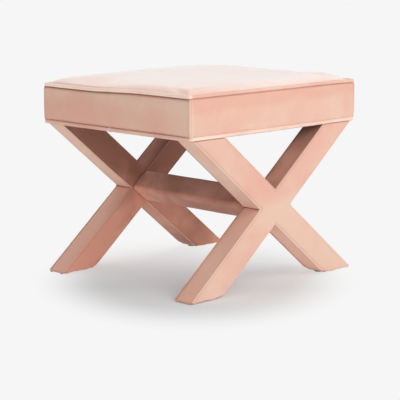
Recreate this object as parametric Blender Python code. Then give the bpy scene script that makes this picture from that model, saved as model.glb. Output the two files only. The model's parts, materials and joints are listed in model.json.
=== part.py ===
"""X-frame bench: a box-edged velvet seat on two upholstered X-frames joined by a stretcher.

Metres, +Z up. The origin is on the floor under the middle of the seat. Each X-frame stands in a
plane across Y, so +X runs along the width that an X spans, and the stretcher runs along Y.
"""

import math

import bmesh
import bpy
from mathutils import Matrix, Vector

# Clearance between pieces that touch, and the distance within which points are one
GAP = 0.0003
SEWING_DISTANCE = 1e-6

# Seat cover
SEAT_WIDTH = 0.560
SEAT_DEPTH = 0.490
SEAT_CORNER_RADIUS = 0.012
BOXING_HEIGHT = 0.081
BOXING_THICKNESS = 0.003
WELT_DIAMETER = 0.009
WELT_JOIN_GAP = 0.0005
WELT_JOIN_FROM_MIDDLE = 0.015
TOP_PANEL_THICKNESS = 0.0015
TOP_PANEL_EDGE_RISE = 0.002
EDGE_ROLL_HEIGHT = 0.020
CENTRE_CROWN_HEIGHT = 0.008
DUST_COVER_THICKNESS = 0.0008
DUST_COVER_CLEARANCE = 0.003

# Seat filling and seat box
BATTING_THICKNESS = 0.003
FOAM_EDGE_HEIGHT = 0.026
FOAM_SHOULDER_DROP = 0.008
DECK_THICKNESS = 0.012
RAIL_THICKNESS = 0.018
BOARD_THICKNESS = 0.018
MOUNTING_BOARD_WIDTH = 0.080
SIDE_CLEAT_WIDTH = 0.045

# X-frames, over their covers
LEG_HEIGHT = 0.358
LEG_WIDTH = 0.0615
LEG_THICKNESS = 0.052
LEG_COVER_THICKNESS = 0.0025
LEG_SET_BACK = 0.002
LEG_TOP_INSET = 0.015
LEG_FOOT_INSET = 0.0075
NOTCH_RADIUS = 0.008

# Stretcher
STRETCHER_EDGE_RADIUS = 0.008

# Leg bolts and threaded inserts
BOLT_RADIUS = 0.004
BOLT_HEAD_RADIUS = 0.009
BOLT_HEAD_HEIGHT = 0.0055
BOLT_HEAD_SLOPE = 0.0018
BOLT_FLANGE_HEIGHT = 0.0018
BOLT_TIP_CHAMFER = 0.002
BOLT_SOCKET_RADIUS = 0.0035
BOLT_SOCKET_DEPTH = 0.003
BOLT_SOCKET_SIDES = 6
BOLT_HEAD_CLEARANCE = 0.002
BOLT_PAST_INSERT = 0.006
INSERT_WALL = 0.0017
INSERT_LENGTH = 0.022

# Stretcher bolts and dowels
STRETCHER_BOLT_RECESS = 0.0015
STRETCHER_BOLT_GRIP = 0.055
DOWEL_RADIUS = 0.005
DOWEL_TO_LAP_WALL = 0.006
DOWEL_DEPTH_IN_STRETCHER = 0.020
DOWEL_TO_BOLT_WALL = 0.005
DOWEL_CHAMFER = 0.001

# Nail glides
GLIDE_RADIUS = 0.010
GLIDE_THICKNESS = 0.0032
GLIDE_EDGE = 0.001
GLIDE_NAIL_RADIUS = 0.0015
GLIDE_NAIL_LENGTH = 0.010
GLIDE_NAIL_TIP = 0.003
GLIDE_NAIL_WALL = 0.004
GLIDE_HEEL_MARGIN = 0.003

# Shape and fineness of the crowned seat
ROLL_SHARPNESS = 8
ROLL_FULLNESS = 0.4
CROWN_DIVISIONS = 16
EDGE_CLUSTERING = 2.0
ARC_STEPS = 3
ROUND_SIDES = 16
WELT_CORNER_STEPS = 5
WELT_RING_RESOLUTION = 3
SHARP_EDGE_ANGLE = math.radians(35)

# Worked out from the sizes above
SEAT_HALF = Vector((SEAT_WIDTH / 2, SEAT_DEPTH / 2))
FOOT_LEVEL = GLIDE_THICKNESS + GAP
LEG_TOP_LEVEL = FOOT_LEVEL + LEG_HEIGHT
SEAT_LEVEL = LEG_TOP_LEVEL + GAP
BOXING_LEVEL = SEAT_LEVEL + WELT_DIAMETER + GAP
TOP_WELT_LEVEL = BOXING_LEVEL + BOXING_HEIGHT + GAP
RAIL_LEVEL = SEAT_LEVEL + BOARD_THICKNESS + GAP
FOAM_LEVEL = TOP_WELT_LEVEL - FOAM_EDGE_HEIGHT
DECK_LEVEL = FOAM_LEVEL - GAP - DECK_THICKNESS
RAIL_HEIGHT = DECK_LEVEL - GAP - RAIL_LEVEL
BOX_INSET = BOXING_THICKNESS + GAP
BOARD_INSET = WELT_DIAMETER + GAP

FOOT_HALF_SPAN = SEAT_WIDTH / 2 - LEG_FOOT_INSET
TOP_HALF_SPAN = SEAT_WIDTH / 2 - LEG_TOP_INSET
FRAME_OFFSET = SEAT_DEPTH / 2 - LEG_SET_BACK - LEG_THICKNESS / 2
CORE_HALF_THICKNESS = LEG_THICKNESS / 2 - LEG_COVER_THICKNESS - GAP


def leg_cut_length():
    """Length of a leg's level end cut, from its width square to the grain and the spans of the X."""
    reach = FOOT_HALF_SPAN + TOP_HALF_SPAN
    rise_term = LEG_HEIGHT * math.sqrt(LEG_HEIGHT**2 + reach**2 - LEG_WIDTH**2)
    return LEG_WIDTH * (rise_term - LEG_WIDTH * reach) / (LEG_HEIGHT**2 - LEG_WIDTH**2)


LEG_CUT = leg_cut_length()
LEG_RUN = (FOOT_HALF_SPAN + TOP_HALF_SPAN - LEG_CUT) / LEG_HEIGHT
LEVEL_PER_WIDTH = math.sqrt(1 + LEG_RUN**2)
COVER_CUT = LEG_COVER_THICKNESS * LEVEL_PER_WIDTH
GAP_CUT = GAP * LEVEL_PER_WIDTH
CROSSING_HEIGHT = (FOOT_HALF_SPAN - LEG_CUT / 2) / LEG_RUN
BOLT_DEPTH = INSERT_LENGTH + BOLT_PAST_INSERT
BOLT_X = TOP_HALF_SPAN - (LEG_CUT + LEG_RUN * BOLT_DEPTH) / 2
INSERT_RADIUS = BOLT_RADIUS + GAP + INSERT_WALL
DOWEL_RISE = BOLT_RADIUS + DOWEL_TO_BOLT_WALL + DOWEL_RADIUS
NAIL_LEAN = LEG_RUN * (GLIDE_NAIL_LENGTH + GAP)
GLIDE_TOE_INSET = NAIL_LEAN + COVER_CUT + GAP_CUT + GLIDE_NAIL_WALL + GLIDE_NAIL_RADIUS
GLIDE_HEEL_INSET = GLIDE_HEEL_MARGIN + GLIDE_RADIUS


def clear_scene():
    for obj in list(bpy.data.objects):
        bpy.data.objects.remove(obj, do_unlink=True)


def material(name, colour, roughness, metallic=0.0):
    made = bpy.data.materials.new(name)
    made.use_nodes = True
    shader = made.node_tree.nodes["Principled BSDF"]
    shader.inputs["Base Color"].default_value = (*colour, 1.0)
    shader.inputs["Roughness"].default_value = roughness
    shader.inputs["Metallic"].default_value = metallic
    made.diffuse_color = (*colour, 1.0)
    return made


def add_empty(name, location=(0, 0, 0), turn=0.0):
    empty = bpy.data.objects.new(name, None)
    empty.location = location
    empty.rotation_euler.z = turn
    bpy.context.scene.collection.objects.link(empty)
    return empty


def add_object(name, bm, parent, location=(0, 0, 0), turn=0.0):
    bmesh.ops.recalc_face_normals(bm, faces=bm.faces)
    mesh = bpy.data.meshes.new(name)
    bm.to_mesh(mesh)
    bm.free()
    obj = bpy.data.objects.new(name, mesh)
    obj.parent = parent
    obj.location = location
    obj.rotation_euler.z = turn
    bpy.context.scene.collection.objects.link(obj)
    return obj


def add_piece(name, bm, finish, parent, location=(0, 0, 0), turn=0.0):
    obj = add_object(name, bm, parent, location, turn)
    obj.data.materials.append(finish)
    obj.data.shade_smooth()
    obj.data.set_sharp_from_angle(angle=SHARP_EDGE_ANGLE)
    return obj


def cut(obj, bm):
    """Cut the closed bodies in bm, given in the object's own frame, out of the object."""
    cutter = add_object(f"{obj.name}_cutter_{len(obj.modifiers)}", bm, obj)
    cutter.hide_render = True
    cutter.display_type = "WIRE"
    boolean = obj.modifiers.new("cut", "BOOLEAN")
    boolean.operation = "DIFFERENCE"
    boolean.solver = "EXACT"
    boolean.object = cutter


def arc(centre, radius, start, end, steps=ARC_STEPS):
    """Points on an arc about centre, angles in degrees."""
    angles = [math.radians(start + (end - start) * step / steps) for step in range(steps + 1)]
    return [(centre[0] + radius * math.cos(a), centre[1] + radius * math.sin(a)) for a in angles]


def rounded_outline(corners):
    """Points of a polygon whose corners are (x, y, radius), with a radius of 0 for a sharp corner."""
    points = []
    for index, (x, y, radius) in enumerate(corners):
        corner = Vector((x, y))
        if radius == 0:
            points.append(tuple(corner))
            continue
        before = (Vector(corners[index - 1][:2]) - corner).normalized()
        after = (Vector(corners[(index + 1) % len(corners)][:2]) - corner).normalized()
        half_angle = before.angle(after) / 2
        centre = corner + (before + after).normalized() * radius / math.sin(half_angle)
        start = corner + before * radius / math.tan(half_angle) - centre
        sweep = start.angle_signed(after * radius / math.tan(half_angle) + corner - centre)
        for step in range(ARC_STEPS + 1):
            spoke = start.copy()
            spoke.rotate(Matrix.Rotation(-sweep * step / ARC_STEPS, 2))
            points.append(tuple(centre + spoke))
    return points


def prism(bm, outline, low, high, upright=False):
    """Extrude an outline from low to high: a plan up along Z, or an upright (x, z) outline along Y."""
    if upright:
        spots = [(x, low, z) for x, z in outline]
        travel = (0, high - low, 0)
    else:
        spots = [(x, y, low) for x, y in outline]
        travel = (0, 0, high - low)
    face = bm.faces.new([bm.verts.new(spot) for spot in spots])
    made = bmesh.ops.extrude_face_region(bm, geom=[face])["geom"]
    bmesh.ops.translate(bm, vec=travel, verts=[v for v in made if isinstance(v, bmesh.types.BMVert)])


def block(bm, low, high):
    outline = [(low[0], low[1]), (high[0], low[1]), (high[0], high[1]), (low[0], high[1])]
    prism(bm, outline, low[2], high[2])


def rod(bm, radius, start, end):
    """A closed cylinder between two points."""
    start = Vector(start)
    along = Vector(end) - start
    place = Matrix.Translation(start + along / 2) @ along.to_track_quat("Z", "Y").to_matrix().to_4x4()
    bmesh.ops.create_cone(
        bm,
        cap_ends=True,
        segments=ROUND_SIDES,
        radius1=radius,
        radius2=radius,
        depth=along.length,
        matrix=place,
    )


def sew(bm):
    """Join the points that lie on each other."""
    bmesh.ops.remove_doubles(bm, verts=bm.verts, dist=SEWING_DISTANCE)


def turned(bm, profile):
    """Spin a profile of (radius, z) points round Z. Points on the axis close it."""
    verts = [bm.verts.new((radius, 0, z)) for radius, z in profile]
    edges = [bm.edges.new(pair) for pair in zip(verts, verts[1:])]
    bmesh.ops.spin(
        bm,
        geom=verts + edges,
        axis=(0, 0, 1),
        cent=(0, 0, 0),
        angle=math.tau,
        steps=ROUND_SIDES,
        use_merge=True,
    )
    sew(bm)


def socket_bolt(length):
    """A flange-head bolt with a hex socket: shank down -Z from the underside of the head at z = 0."""
    bm = bmesh.new()
    turned(
        bm,
        [
            (BOLT_HEAD_RADIUS - BOLT_HEAD_SLOPE, BOLT_HEAD_HEIGHT),
            (BOLT_HEAD_RADIUS, BOLT_FLANGE_HEIGHT),
            (BOLT_HEAD_RADIUS, 0),
            (BOLT_RADIUS, 0),
            (BOLT_RADIUS, BOLT_TIP_CHAMFER - length),
            (BOLT_RADIUS - BOLT_TIP_CHAMFER, -length),
            (0, -length),
        ],
    )
    rim_edges = [edge for edge in bm.edges if edge.is_boundary]
    lift = Matrix.Translation((0, 0, BOLT_HEAD_HEIGHT))
    hexagon = bmesh.ops.create_circle(
        bm, segments=BOLT_SOCKET_SIDES, radius=BOLT_SOCKET_RADIUS, matrix=lift
    )["verts"]
    hexagon_edges = list({edge for vert in hexagon for edge in vert.link_edges})
    bmesh.ops.bridge_loops(bm, edges=rim_edges + hexagon_edges)
    made = bmesh.ops.extrude_edge_only(bm, edges=hexagon_edges)["geom"]
    floor = [item for item in made if isinstance(item, bmesh.types.BMVert)]
    bmesh.ops.translate(bm, vec=(0, 0, -BOLT_SOCKET_DEPTH), verts=floor)
    bmesh.ops.contextual_create(bm, geom=floor)
    return bm


def crown_rise(u, v):
    """Height of the crowned top over its edge, for u and v from -1 to 1 across the seat."""
    roll = ((1 - abs(u) ** ROLL_SHARPNESS) * (1 - abs(v) ** ROLL_SHARPNESS)) ** ROLL_FULLNESS
    return EDGE_ROLL_HEIGHT * roll + CENTRE_CROWN_HEIGHT * (1 - u * u) * (1 - v * v)


def corner_radius(inset):
    """Radius of a seat corner drawn in by inset. Past the corner's centre it is all but sharp."""
    return max(SEAT_CORNER_RADIUS - inset, GAP)


def plan_point(u, v, inset):
    """Place (u, v) in the seat's plan, drawn in by inset, with the corners rounded about one centre."""
    half = SEAT_HALF - Vector((inset, inset))
    radius = corner_radius(inset)
    x, y = u * half.x, v * half.y
    a = (abs(x) - half.x + radius) / radius
    b = (abs(y) - half.y + radius) / radius
    if a > 0 and b > 0:
        x = math.copysign(half.x - radius + radius * a * math.sqrt(1 - b * b / 2), x)
        y = math.copysign(half.y - radius + radius * b * math.sqrt(1 - a * a / 2), y)
    return x, y


def crowned_sheet(bm, rings):
    """A crowned grid on the first ring with walls down through the others. Returns its open edges.

    Each ring is (inset from the seat's outline, level).
    """
    grid = bmesh.ops.create_grid(bm, x_segments=CROWN_DIVISIONS, y_segments=CROWN_DIVISIONS, size=1.0)
    inset, level = rings[0]
    shares = {}
    for vert in grid["verts"]:
        u, v = (math.copysign(1 - (1 - abs(t)) ** EDGE_CLUSTERING, t) for t in vert.co.xy)
        shares[vert] = (u, v)
        vert.co = (*plan_point(u, v, inset), level + crown_rise(u, v))
    edges = list({edge for vert in shares for edge in vert.link_edges if edge.is_boundary})
    for inset, level in rings[1:]:
        made = bmesh.ops.extrude_edge_only(bm, edges=edges)["geom"]
        new_shares = {}
        for vert in made:
            if not isinstance(vert, bmesh.types.BMVert):
                continue
            neighbours = (edge.other_vert(vert) for edge in vert.link_edges)
            new_shares[vert] = next(shares[other] for other in neighbours if other in shares)
            vert.co = (*plan_point(*new_shares[vert], inset), level)
        edges = [item for item in made if isinstance(item, bmesh.types.BMEdge) and item.is_boundary]
        shares = new_shares
    return edges


def rail_plan(inset, width):
    """Plan of a full-length front rail or board: outer corners rounded, inner edge straight."""
    half = SEAT_HALF - Vector((inset, inset))
    radius = corner_radius(inset)
    outer = arc((radius - half.x, radius - half.y), radius, 180, 270)
    outer += arc((half.x - radius, radius - half.y), radius, 270, 360)
    return outer + [(half.x, width - half.y), (-half.x, width - half.y)]


def boxing_plan(half_length, half_depth):
    """Plan of one boxing panel facing -Y, which ends at a seam halfway round each corner."""
    centre_x = half_length - SEAT_CORNER_RADIUS
    centre_y = SEAT_CORNER_RADIUS - half_depth
    points = []
    for radius in (SEAT_CORNER_RADIUS, SEAT_CORNER_RADIUS - BOXING_THICKNESS):
        seam = math.degrees(GAP / 2 / radius)
        wall = arc((-centre_x, centre_y), radius, 225 + seam, 270)
        wall += arc((centre_x, centre_y), radius, 270, 315 - seam)
        points += wall if radius == SEAT_CORNER_RADIUS else wall[::-1]
    return points


def add_welt(name, level, finish, parent, join_gap):
    """A piped cord round the seat, its outside flush with the boxing. It starts at its join, on the left."""
    inset = WELT_DIAMETER / 2
    half = SEAT_HALF - Vector((inset, inset))
    tightest_bend = WELT_DIAMETER / 2 + GAP
    radius = max(SEAT_CORNER_RADIUS - inset, tightest_bend)
    join = WELT_JOIN_FROM_MIDDLE
    route = [(-half.x, join - join_gap / 2)]
    for side_x, side_y, start in ((-1, -1, 180), (1, -1, 270), (1, 1, 0), (-1, 1, 90)):
        centre = (side_x * (half.x - radius), side_y * (half.y - radius))
        route += arc(centre, radius, start, start + 90, WELT_CORNER_STEPS)
    if join_gap:
        route.append((-half.x, join + join_gap / 2))
    curve = bpy.data.curves.new(name, "CURVE")
    curve.dimensions = "3D"
    curve.twist_mode = "Z_UP"
    curve.bevel_depth = WELT_DIAMETER / 2
    curve.bevel_resolution = WELT_RING_RESOLUTION
    curve.use_fill_caps = True
    curve.materials.append(finish)
    spline = curve.splines.new("POLY")
    spline.points.add(len(route) - 1)
    for point, (x, y) in zip(spline.points, route):
        point.co = (x, y, level + WELT_DIAMETER / 2, 1)
    spline.use_cyclic_u = not join_gap
    spline.use_smooth = True
    obj = bpy.data.objects.new(name, curve)
    obj.parent = parent
    bpy.context.scene.collection.objects.link(obj)


def build_seat_box(wood, plywood, parent):
    half = SEAT_HALF - Vector((BOX_INSET, BOX_INSET))
    board_half = SEAT_HALF - Vector((BOARD_INSET, BOARD_INSET))
    for side, turn in (("front", 0.0), ("back", math.pi)):
        bm = bmesh.new()
        prism(bm, rail_plan(BOX_INSET, RAIL_THICKNESS), RAIL_LEVEL, RAIL_LEVEL + RAIL_HEIGHT)
        rail = add_piece(f"seat_rail_{side}", bm, wood, parent, turn=turn)
        bm = bmesh.new()
        plan = rail_plan(BOARD_INSET, MOUNTING_BOARD_WIDTH)
        prism(bm, plan, SEAT_LEVEL, SEAT_LEVEL + BOARD_THICKNESS)
        board = add_piece(f"mounting_board_{side}", bm, plywood, parent, turn=turn)
        holes, recesses = bmesh.new(), bmesh.new()
        low, high = SEAT_LEVEL - BOARD_THICKNESS, SEAT_LEVEL + 2 * BOARD_THICKNESS
        recess_top = RAIL_LEVEL + BOLT_HEAD_HEIGHT + BOLT_HEAD_CLEARANCE
        for x in (-BOLT_X, BOLT_X):
            under = (x, -FRAME_OFFSET, low)
            rod(holes, BOLT_RADIUS + GAP, under, (x, -FRAME_OFFSET, high))
            rod(recesses, BOLT_HEAD_RADIUS + BOLT_HEAD_CLEARANCE, under, (x, -FRAME_OFFSET, recess_top))
        cut(board, holes)
        cut(rail, recesses)
    rail_end = half.y - RAIL_THICKNESS - GAP
    cleat_end = board_half.y - MOUNTING_BOARD_WIDTH - GAP
    for side, turn in (("right", 0.0), ("left", math.pi)):
        bm = bmesh.new()
        rail_top = RAIL_LEVEL + RAIL_HEIGHT
        block(bm, (half.x - RAIL_THICKNESS, -rail_end, RAIL_LEVEL), (half.x, rail_end, rail_top))
        add_piece(f"seat_rail_{side}", bm, wood, parent, turn=turn)
        bm = bmesh.new()
        cleat_inner = board_half.x - SIDE_CLEAT_WIDTH
        cleat_top = SEAT_LEVEL + BOARD_THICKNESS
        block(bm, (cleat_inner, -cleat_end, SEAT_LEVEL), (board_half.x, cleat_end, cleat_top))
        add_piece(f"side_cleat_{side}", bm, plywood, parent, turn=turn)
    bm = bmesh.new()
    radius = corner_radius(BOX_INSET)
    deck = [(-half.x, -half.y, radius), (half.x, -half.y, radius)]
    deck += [(half.x, half.y, radius), (-half.x, half.y, radius)]
    prism(bm, rounded_outline(deck), DECK_LEVEL, DECK_LEVEL + DECK_THICKNESS)
    add_piece("seat_deck", bm, plywood, parent)


def build_seat_filling(foam, batting, velvet, parent):
    """Foam, the batting over it and the velvet top panel, each drawn in under the next."""
    panel_inset = WELT_DIAMETER + GAP
    panel_edge = TOP_WELT_LEVEL + TOP_PANEL_EDGE_RISE
    lining = (panel_inset + TOP_PANEL_THICKNESS, panel_edge - TOP_PANEL_THICKNESS)
    bm = bmesh.new()
    crowned_sheet(bm, [(panel_inset, panel_edge), lining])
    crowned_sheet(bm, [lining])
    sew(bm)
    add_piece("seat_top_panel", bm, velvet, parent)

    def layer(depth):
        """Rings of a layer whose face lies depth under the lining and the boxing."""
        shoulder = TOP_WELT_LEVEL - FOAM_SHOULDER_DROP - depth / 2
        side = BOX_INSET + depth
        return [(lining[0] + GAP + depth, lining[1] - GAP - depth), (side, shoulder), (side, FOAM_LEVEL)]

    bm = bmesh.new()
    crowned_sheet(bm, layer(0) + layer(BATTING_THICKNESS)[-1:])
    crowned_sheet(bm, layer(BATTING_THICKNESS))
    sew(bm)
    add_piece("batting_wrap", bm, batting, parent)
    bm = bmesh.new()
    bmesh.ops.contextual_create(bm, geom=crowned_sheet(bm, layer(BATTING_THICKNESS + GAP)))
    add_piece("seat_foam", bm, foam, parent)


def build_seat_cover(velvet, cambric, parent):
    sides = (
        ("front", SEAT_HALF.x, SEAT_HALF.y, 0.0),
        ("right", SEAT_HALF.y, SEAT_HALF.x, math.pi / 2),
        ("back", SEAT_HALF.x, SEAT_HALF.y, math.pi),
        ("left", SEAT_HALF.y, SEAT_HALF.x, -math.pi / 2),
    )
    for side, half_length, half_depth, turn in sides:
        bm = bmesh.new()
        prism(bm, boxing_plan(half_length, half_depth), BOXING_LEVEL, BOXING_LEVEL + BOXING_HEIGHT)
        add_piece(f"boxing_{side}", bm, velvet, parent, turn=turn)
    add_welt("top_welt", TOP_WELT_LEVEL, velvet, parent, 0.0)
    add_welt("bottom_welt", SEAT_LEVEL, velvet, parent, WELT_JOIN_GAP)
    half = SEAT_HALF - Vector((BOARD_INSET, BOARD_INSET))
    notch_x = TOP_HALF_SPAN - LEG_CUT - DUST_COVER_CLEARANCE
    notch_y = FRAME_OFFSET - LEG_THICKNESS / 2 - DUST_COVER_CLEARANCE
    quarter = [(half.x, notch_y), (notch_x, notch_y), (notch_x, half.y)]
    plan = quarter + [(-x, y) for x, y in quarter[::-1]]
    plan += [(-x, -y) for x, y in plan]
    bm = bmesh.new()
    prism(bm, plan, SEAT_LEVEL - GAP - DUST_COVER_THICKNESS, SEAT_LEVEL - GAP)
    add_piece("dust_cover", bm, cambric, parent)


def x_corners(inset=0.0):
    """Corners of the X by name, upright (x, z) from the foot, drawn in by a level inset from every edge."""
    foot_out, foot_in = FOOT_HALF_SPAN - inset, FOOT_HALF_SPAN - LEG_CUT + inset
    top_out, top_in = TOP_HALF_SPAN - inset, TOP_HALF_SPAN - LEG_CUT + inset
    side = LEG_CUT / 2 - inset
    rise = side / LEG_RUN
    return {
        "foot_out": (foot_out, 0),
        "foot_in": (foot_in, 0),
        "top_out": (top_out, LEG_HEIGHT),
        "top_in": (top_in, LEG_HEIGHT),
        "side": (side, CROSSING_HEIGHT),
        "above": (0, CROSSING_HEIGHT + rise),
        "below": (0, CROSSING_HEIGHT - rise),
    }


def x_outline():
    """Outline of an X-shaped cover panel, rounded in the four notches."""
    at = x_corners()
    right = [(*at["below"], NOTCH_RADIUS), (*at["foot_in"], 0), (*at["foot_out"], 0)]
    right += [(*at["side"], NOTCH_RADIUS), (*at["top_out"], 0), (*at["top_in"], 0)]
    left = [(-x, z, radius) for x, z, radius in right[:0:-1]]
    return rounded_outline(right + [(*at["above"], NOTCH_RADIUS)] + left)


def strip_outline(place):
    """Outline of one V-shaped side strip, between the X's edge and the cores."""
    face, back = x_corners(), x_corners(COVER_CUT)
    back_radius = NOTCH_RADIUS + LEG_COVER_THICKNESS
    if place in ("top", "bottom"):
        end, notch = ("top_in", "above") if place == "top" else ("foot_in", "below")
        mirrored = (-face[end][0], face[end][1], 0)
        back_mirrored = (-back[end][0], back[end][1], 0)
        line = [(*face[end], 0), (*face[notch], NOTCH_RADIUS), mirrored]
        line += [back_mirrored, (*back[notch], back_radius), (*back[end], 0)]
    else:
        line = [(*face["foot_out"], 0), (*face["side"], NOTCH_RADIUS), (*face["top_out"], 0)]
        line += [(*back["top_out"], 0), (*back["side"], back_radius), (*back["foot_out"], 0)]
        if place == "left":
            line = [(-x, z, radius) for x, z, radius in line]
    return rounded_outline(line)


def leg_outline(lean, inset):
    """A leg's outline, drawn in by a level inset. It leans from its foot towards lean, +1 or -1 along X."""
    at = x_corners(inset)
    points = [(-at["foot_out"][0], 0), (-at["foot_in"][0], 0), at["top_out"], at["top_in"]]
    return [(lean * x, z) for x, z in points]


def glide_places(lean):
    """X of a foot's two glides, toe then heel."""
    toe = FOOT_HALF_SPAN - GLIDE_TOE_INSET
    heel = FOOT_HALF_SPAN - LEG_CUT + GLIDE_HEEL_INSET
    return [-lean * toe, -lean * heel]


def build_leg_core(name, lean, wood, parent):
    """One bar of an X. The leg that leans to +X keeps the outer half of the lap, the other the inner."""
    core_inset = COVER_CUT + GAP_CUT
    bm = bmesh.new()
    outline = leg_outline(lean, core_inset)
    prism(bm, outline, -CORE_HALF_THICKNESS, CORE_HALF_THICKNESS, upright=True)
    core = add_piece(name, bm, wood, parent)
    lap = bmesh.new()
    other = leg_outline(-lean, core_inset - GAP_CUT)
    prism(lap, other, -lean * GAP / 2, lean * LEG_THICKNESS, upright=True)
    cut(core, lap)
    holes = bmesh.new()
    hole_end = (lean * BOLT_X, 0, LEG_HEIGHT - BOLT_DEPTH - GAP)
    rod(holes, INSERT_RADIUS + GAP, hole_end, (lean * BOLT_X, 0, LEG_HEIGHT + BOARD_THICKNESS))
    for x in glide_places(lean):
        below = (x, 0, -GLIDE_THICKNESS)
        rod(holes, GLIDE_NAIL_RADIUS + GAP, below, (x, 0, GLIDE_NAIL_LENGTH + GAP))
    if lean > 0:
        seat = BOLT_HEAD_HEIGHT + STRETCHER_BOLT_RECESS - CORE_HALF_THICKNESS
        start = (0, -LEG_THICKNESS, CROSSING_HEIGHT)
        rod(holes, BOLT_HEAD_RADIUS + GAP, start, (0, seat, CROSSING_HEIGHT))
    else:
        dowel_z = CROSSING_HEIGHT + DOWEL_RISE
        dowel_end = DOWEL_TO_LAP_WALL - GAP
        rod(holes, DOWEL_RADIUS + GAP, (0, dowel_end, dowel_z), (0, LEG_THICKNESS, dowel_z))
    cut(core, holes)
    clearance = bmesh.new()
    ends = (0, -LEG_THICKNESS, CROSSING_HEIGHT), (0, LEG_THICKNESS, CROSSING_HEIGHT)
    rod(clearance, BOLT_RADIUS + GAP, *ends)
    cut(core, clearance)


def build_x_frame(end, turn, velvet, wood, steel, nylon):
    """One X-frame in its own frame: outside towards -Y, feet at z = 0. The rear one is turned round."""
    facing = 1 if end == "front" else -1
    frame = add_empty(f"{end}_x_frame", (0, -facing * FRAME_OFFSET, FOOT_LEVEL), turn)
    for lean, word in ((1, "rising"), (-1, "falling")):
        build_leg_core(f"{end}_leg_{word}", lean, wood, frame)
    face = LEG_THICKNESS / 2
    lining = face - LEG_COVER_THICKNESS
    for word, low, high in (("outer", -face, -lining), ("inner", lining, face)):
        bm = bmesh.new()
        prism(bm, x_outline(), low, high, upright=True)
        panel = add_piece(f"{end}_{word}_panel", bm, velvet, frame)
        if word == "inner":
            holes = bmesh.new()
            for radius, z in (
                (BOLT_RADIUS, CROSSING_HEIGHT),
                (DOWEL_RADIUS, CROSSING_HEIGHT + DOWEL_RISE),
            ):
                rod(holes, radius + GAP, (0, 0, z), (0, LEG_THICKNESS, z))
            cut(panel, holes)
    for place in ("top", "bottom", "left", "right"):
        bm = bmesh.new()
        prism(bm, strip_outline(place), GAP - lining, lining - GAP, upright=True)
        seen = {"left": "right", "right": "left"}.get(place, place) if facing < 0 else place
        add_piece(f"{end}_strip_{seen}", bm, velvet, frame)
    for lean in (1, -1):
        side = "left" if lean * facing > 0 else "right"
        for x, word in zip(glide_places(lean), ("toe", "heel")):
            bm = bmesh.new()
            nail_end = GLIDE_THICKNESS + GAP + GLIDE_NAIL_LENGTH
            profile = [(0, nail_end), (GLIDE_NAIL_RADIUS, nail_end - GLIDE_NAIL_TIP)]
            profile += [(GLIDE_NAIL_RADIUS, GLIDE_THICKNESS), (GLIDE_RADIUS, GLIDE_THICKNESS)]
            profile += [(GLIDE_RADIUS, GLIDE_EDGE), (GLIDE_RADIUS - GLIDE_EDGE, 0), (0, 0)]
            turned(bm, profile)
            add_piece(f"{end}_{side}_glide_{word}", bm, nylon, frame, (x, 0, -FOOT_LEVEL))
    head_level = SEAT_LEVEL + BOARD_THICKNESS + GAP - FOOT_LEVEL
    bolt_length = head_level - LEG_HEIGHT + BOLT_DEPTH
    for lean in (1, -1):
        side = "right" if lean * facing > 0 else "left"
        place = (lean * BOLT_X, 0, head_level)
        add_piece(f"{end}_{side}_leg_bolt", socket_bolt(bolt_length), steel, frame, place)
        bm = bmesh.new()
        bore = BOLT_RADIUS + GAP
        profile = [(bore, INSERT_LENGTH), (INSERT_RADIUS, INSERT_LENGTH), (INSERT_RADIUS, 0), (bore, 0)]
        turned(bm, profile + profile[:1])
        place = (lean * BOLT_X, 0, LEG_HEIGHT - INSERT_LENGTH)
        add_piece(f"{end}_{side}_leg_insert", bm, steel, frame, place)
    build_stretcher_fixings(end, frame, steel, wood)


def build_stretcher_fixings(end, frame, steel, wood):
    """The bolt through the lap into the stretcher's end, and the dowel that stops the stretcher turning."""
    head_seat = BOLT_HEAD_HEIGHT + STRETCHER_BOLT_RECESS - CORE_HALF_THICKNESS
    length = LEG_THICKNESS / 2 + GAP - head_seat + STRETCHER_BOLT_GRIP
    bolt = add_piece(f"{end}_stretcher_bolt", socket_bolt(length - GAP), steel, frame)
    bolt.location = (0, head_seat - GAP, CROSSING_HEIGHT)
    bolt.rotation_euler.x = math.pi / 2
    bm = bmesh.new()
    low = DOWEL_TO_LAP_WALL
    high = LEG_THICKNESS / 2 + GAP + DOWEL_DEPTH_IN_STRETCHER
    neck = DOWEL_RADIUS - DOWEL_CHAMFER
    profile = [(0, high), (neck, high), (DOWEL_RADIUS, high - DOWEL_CHAMFER)]
    profile += [(DOWEL_RADIUS, low + DOWEL_CHAMFER), (neck, low), (0, low)]
    turned(bm, profile)
    dowel = add_piece(f"{end}_stretcher_dowel", bm, wood, frame)
    dowel.location = (0, 0, CROSSING_HEIGHT + DOWEL_RISE)
    dowel.rotation_euler.x = -math.pi / 2


def diamond(inset):
    """The crossing's diamond drawn in by a level inset, with its long edges rounded to match."""
    at = x_corners(inset)
    radius = STRETCHER_EDGE_RADIUS - inset / LEVEL_PER_WIDTH
    corners = [at["below"], at["side"], at["above"], (-at["side"][0], at["side"][1])]
    return rounded_outline([(x, z + FOOT_LEVEL, radius) for x, z in corners])


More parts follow.
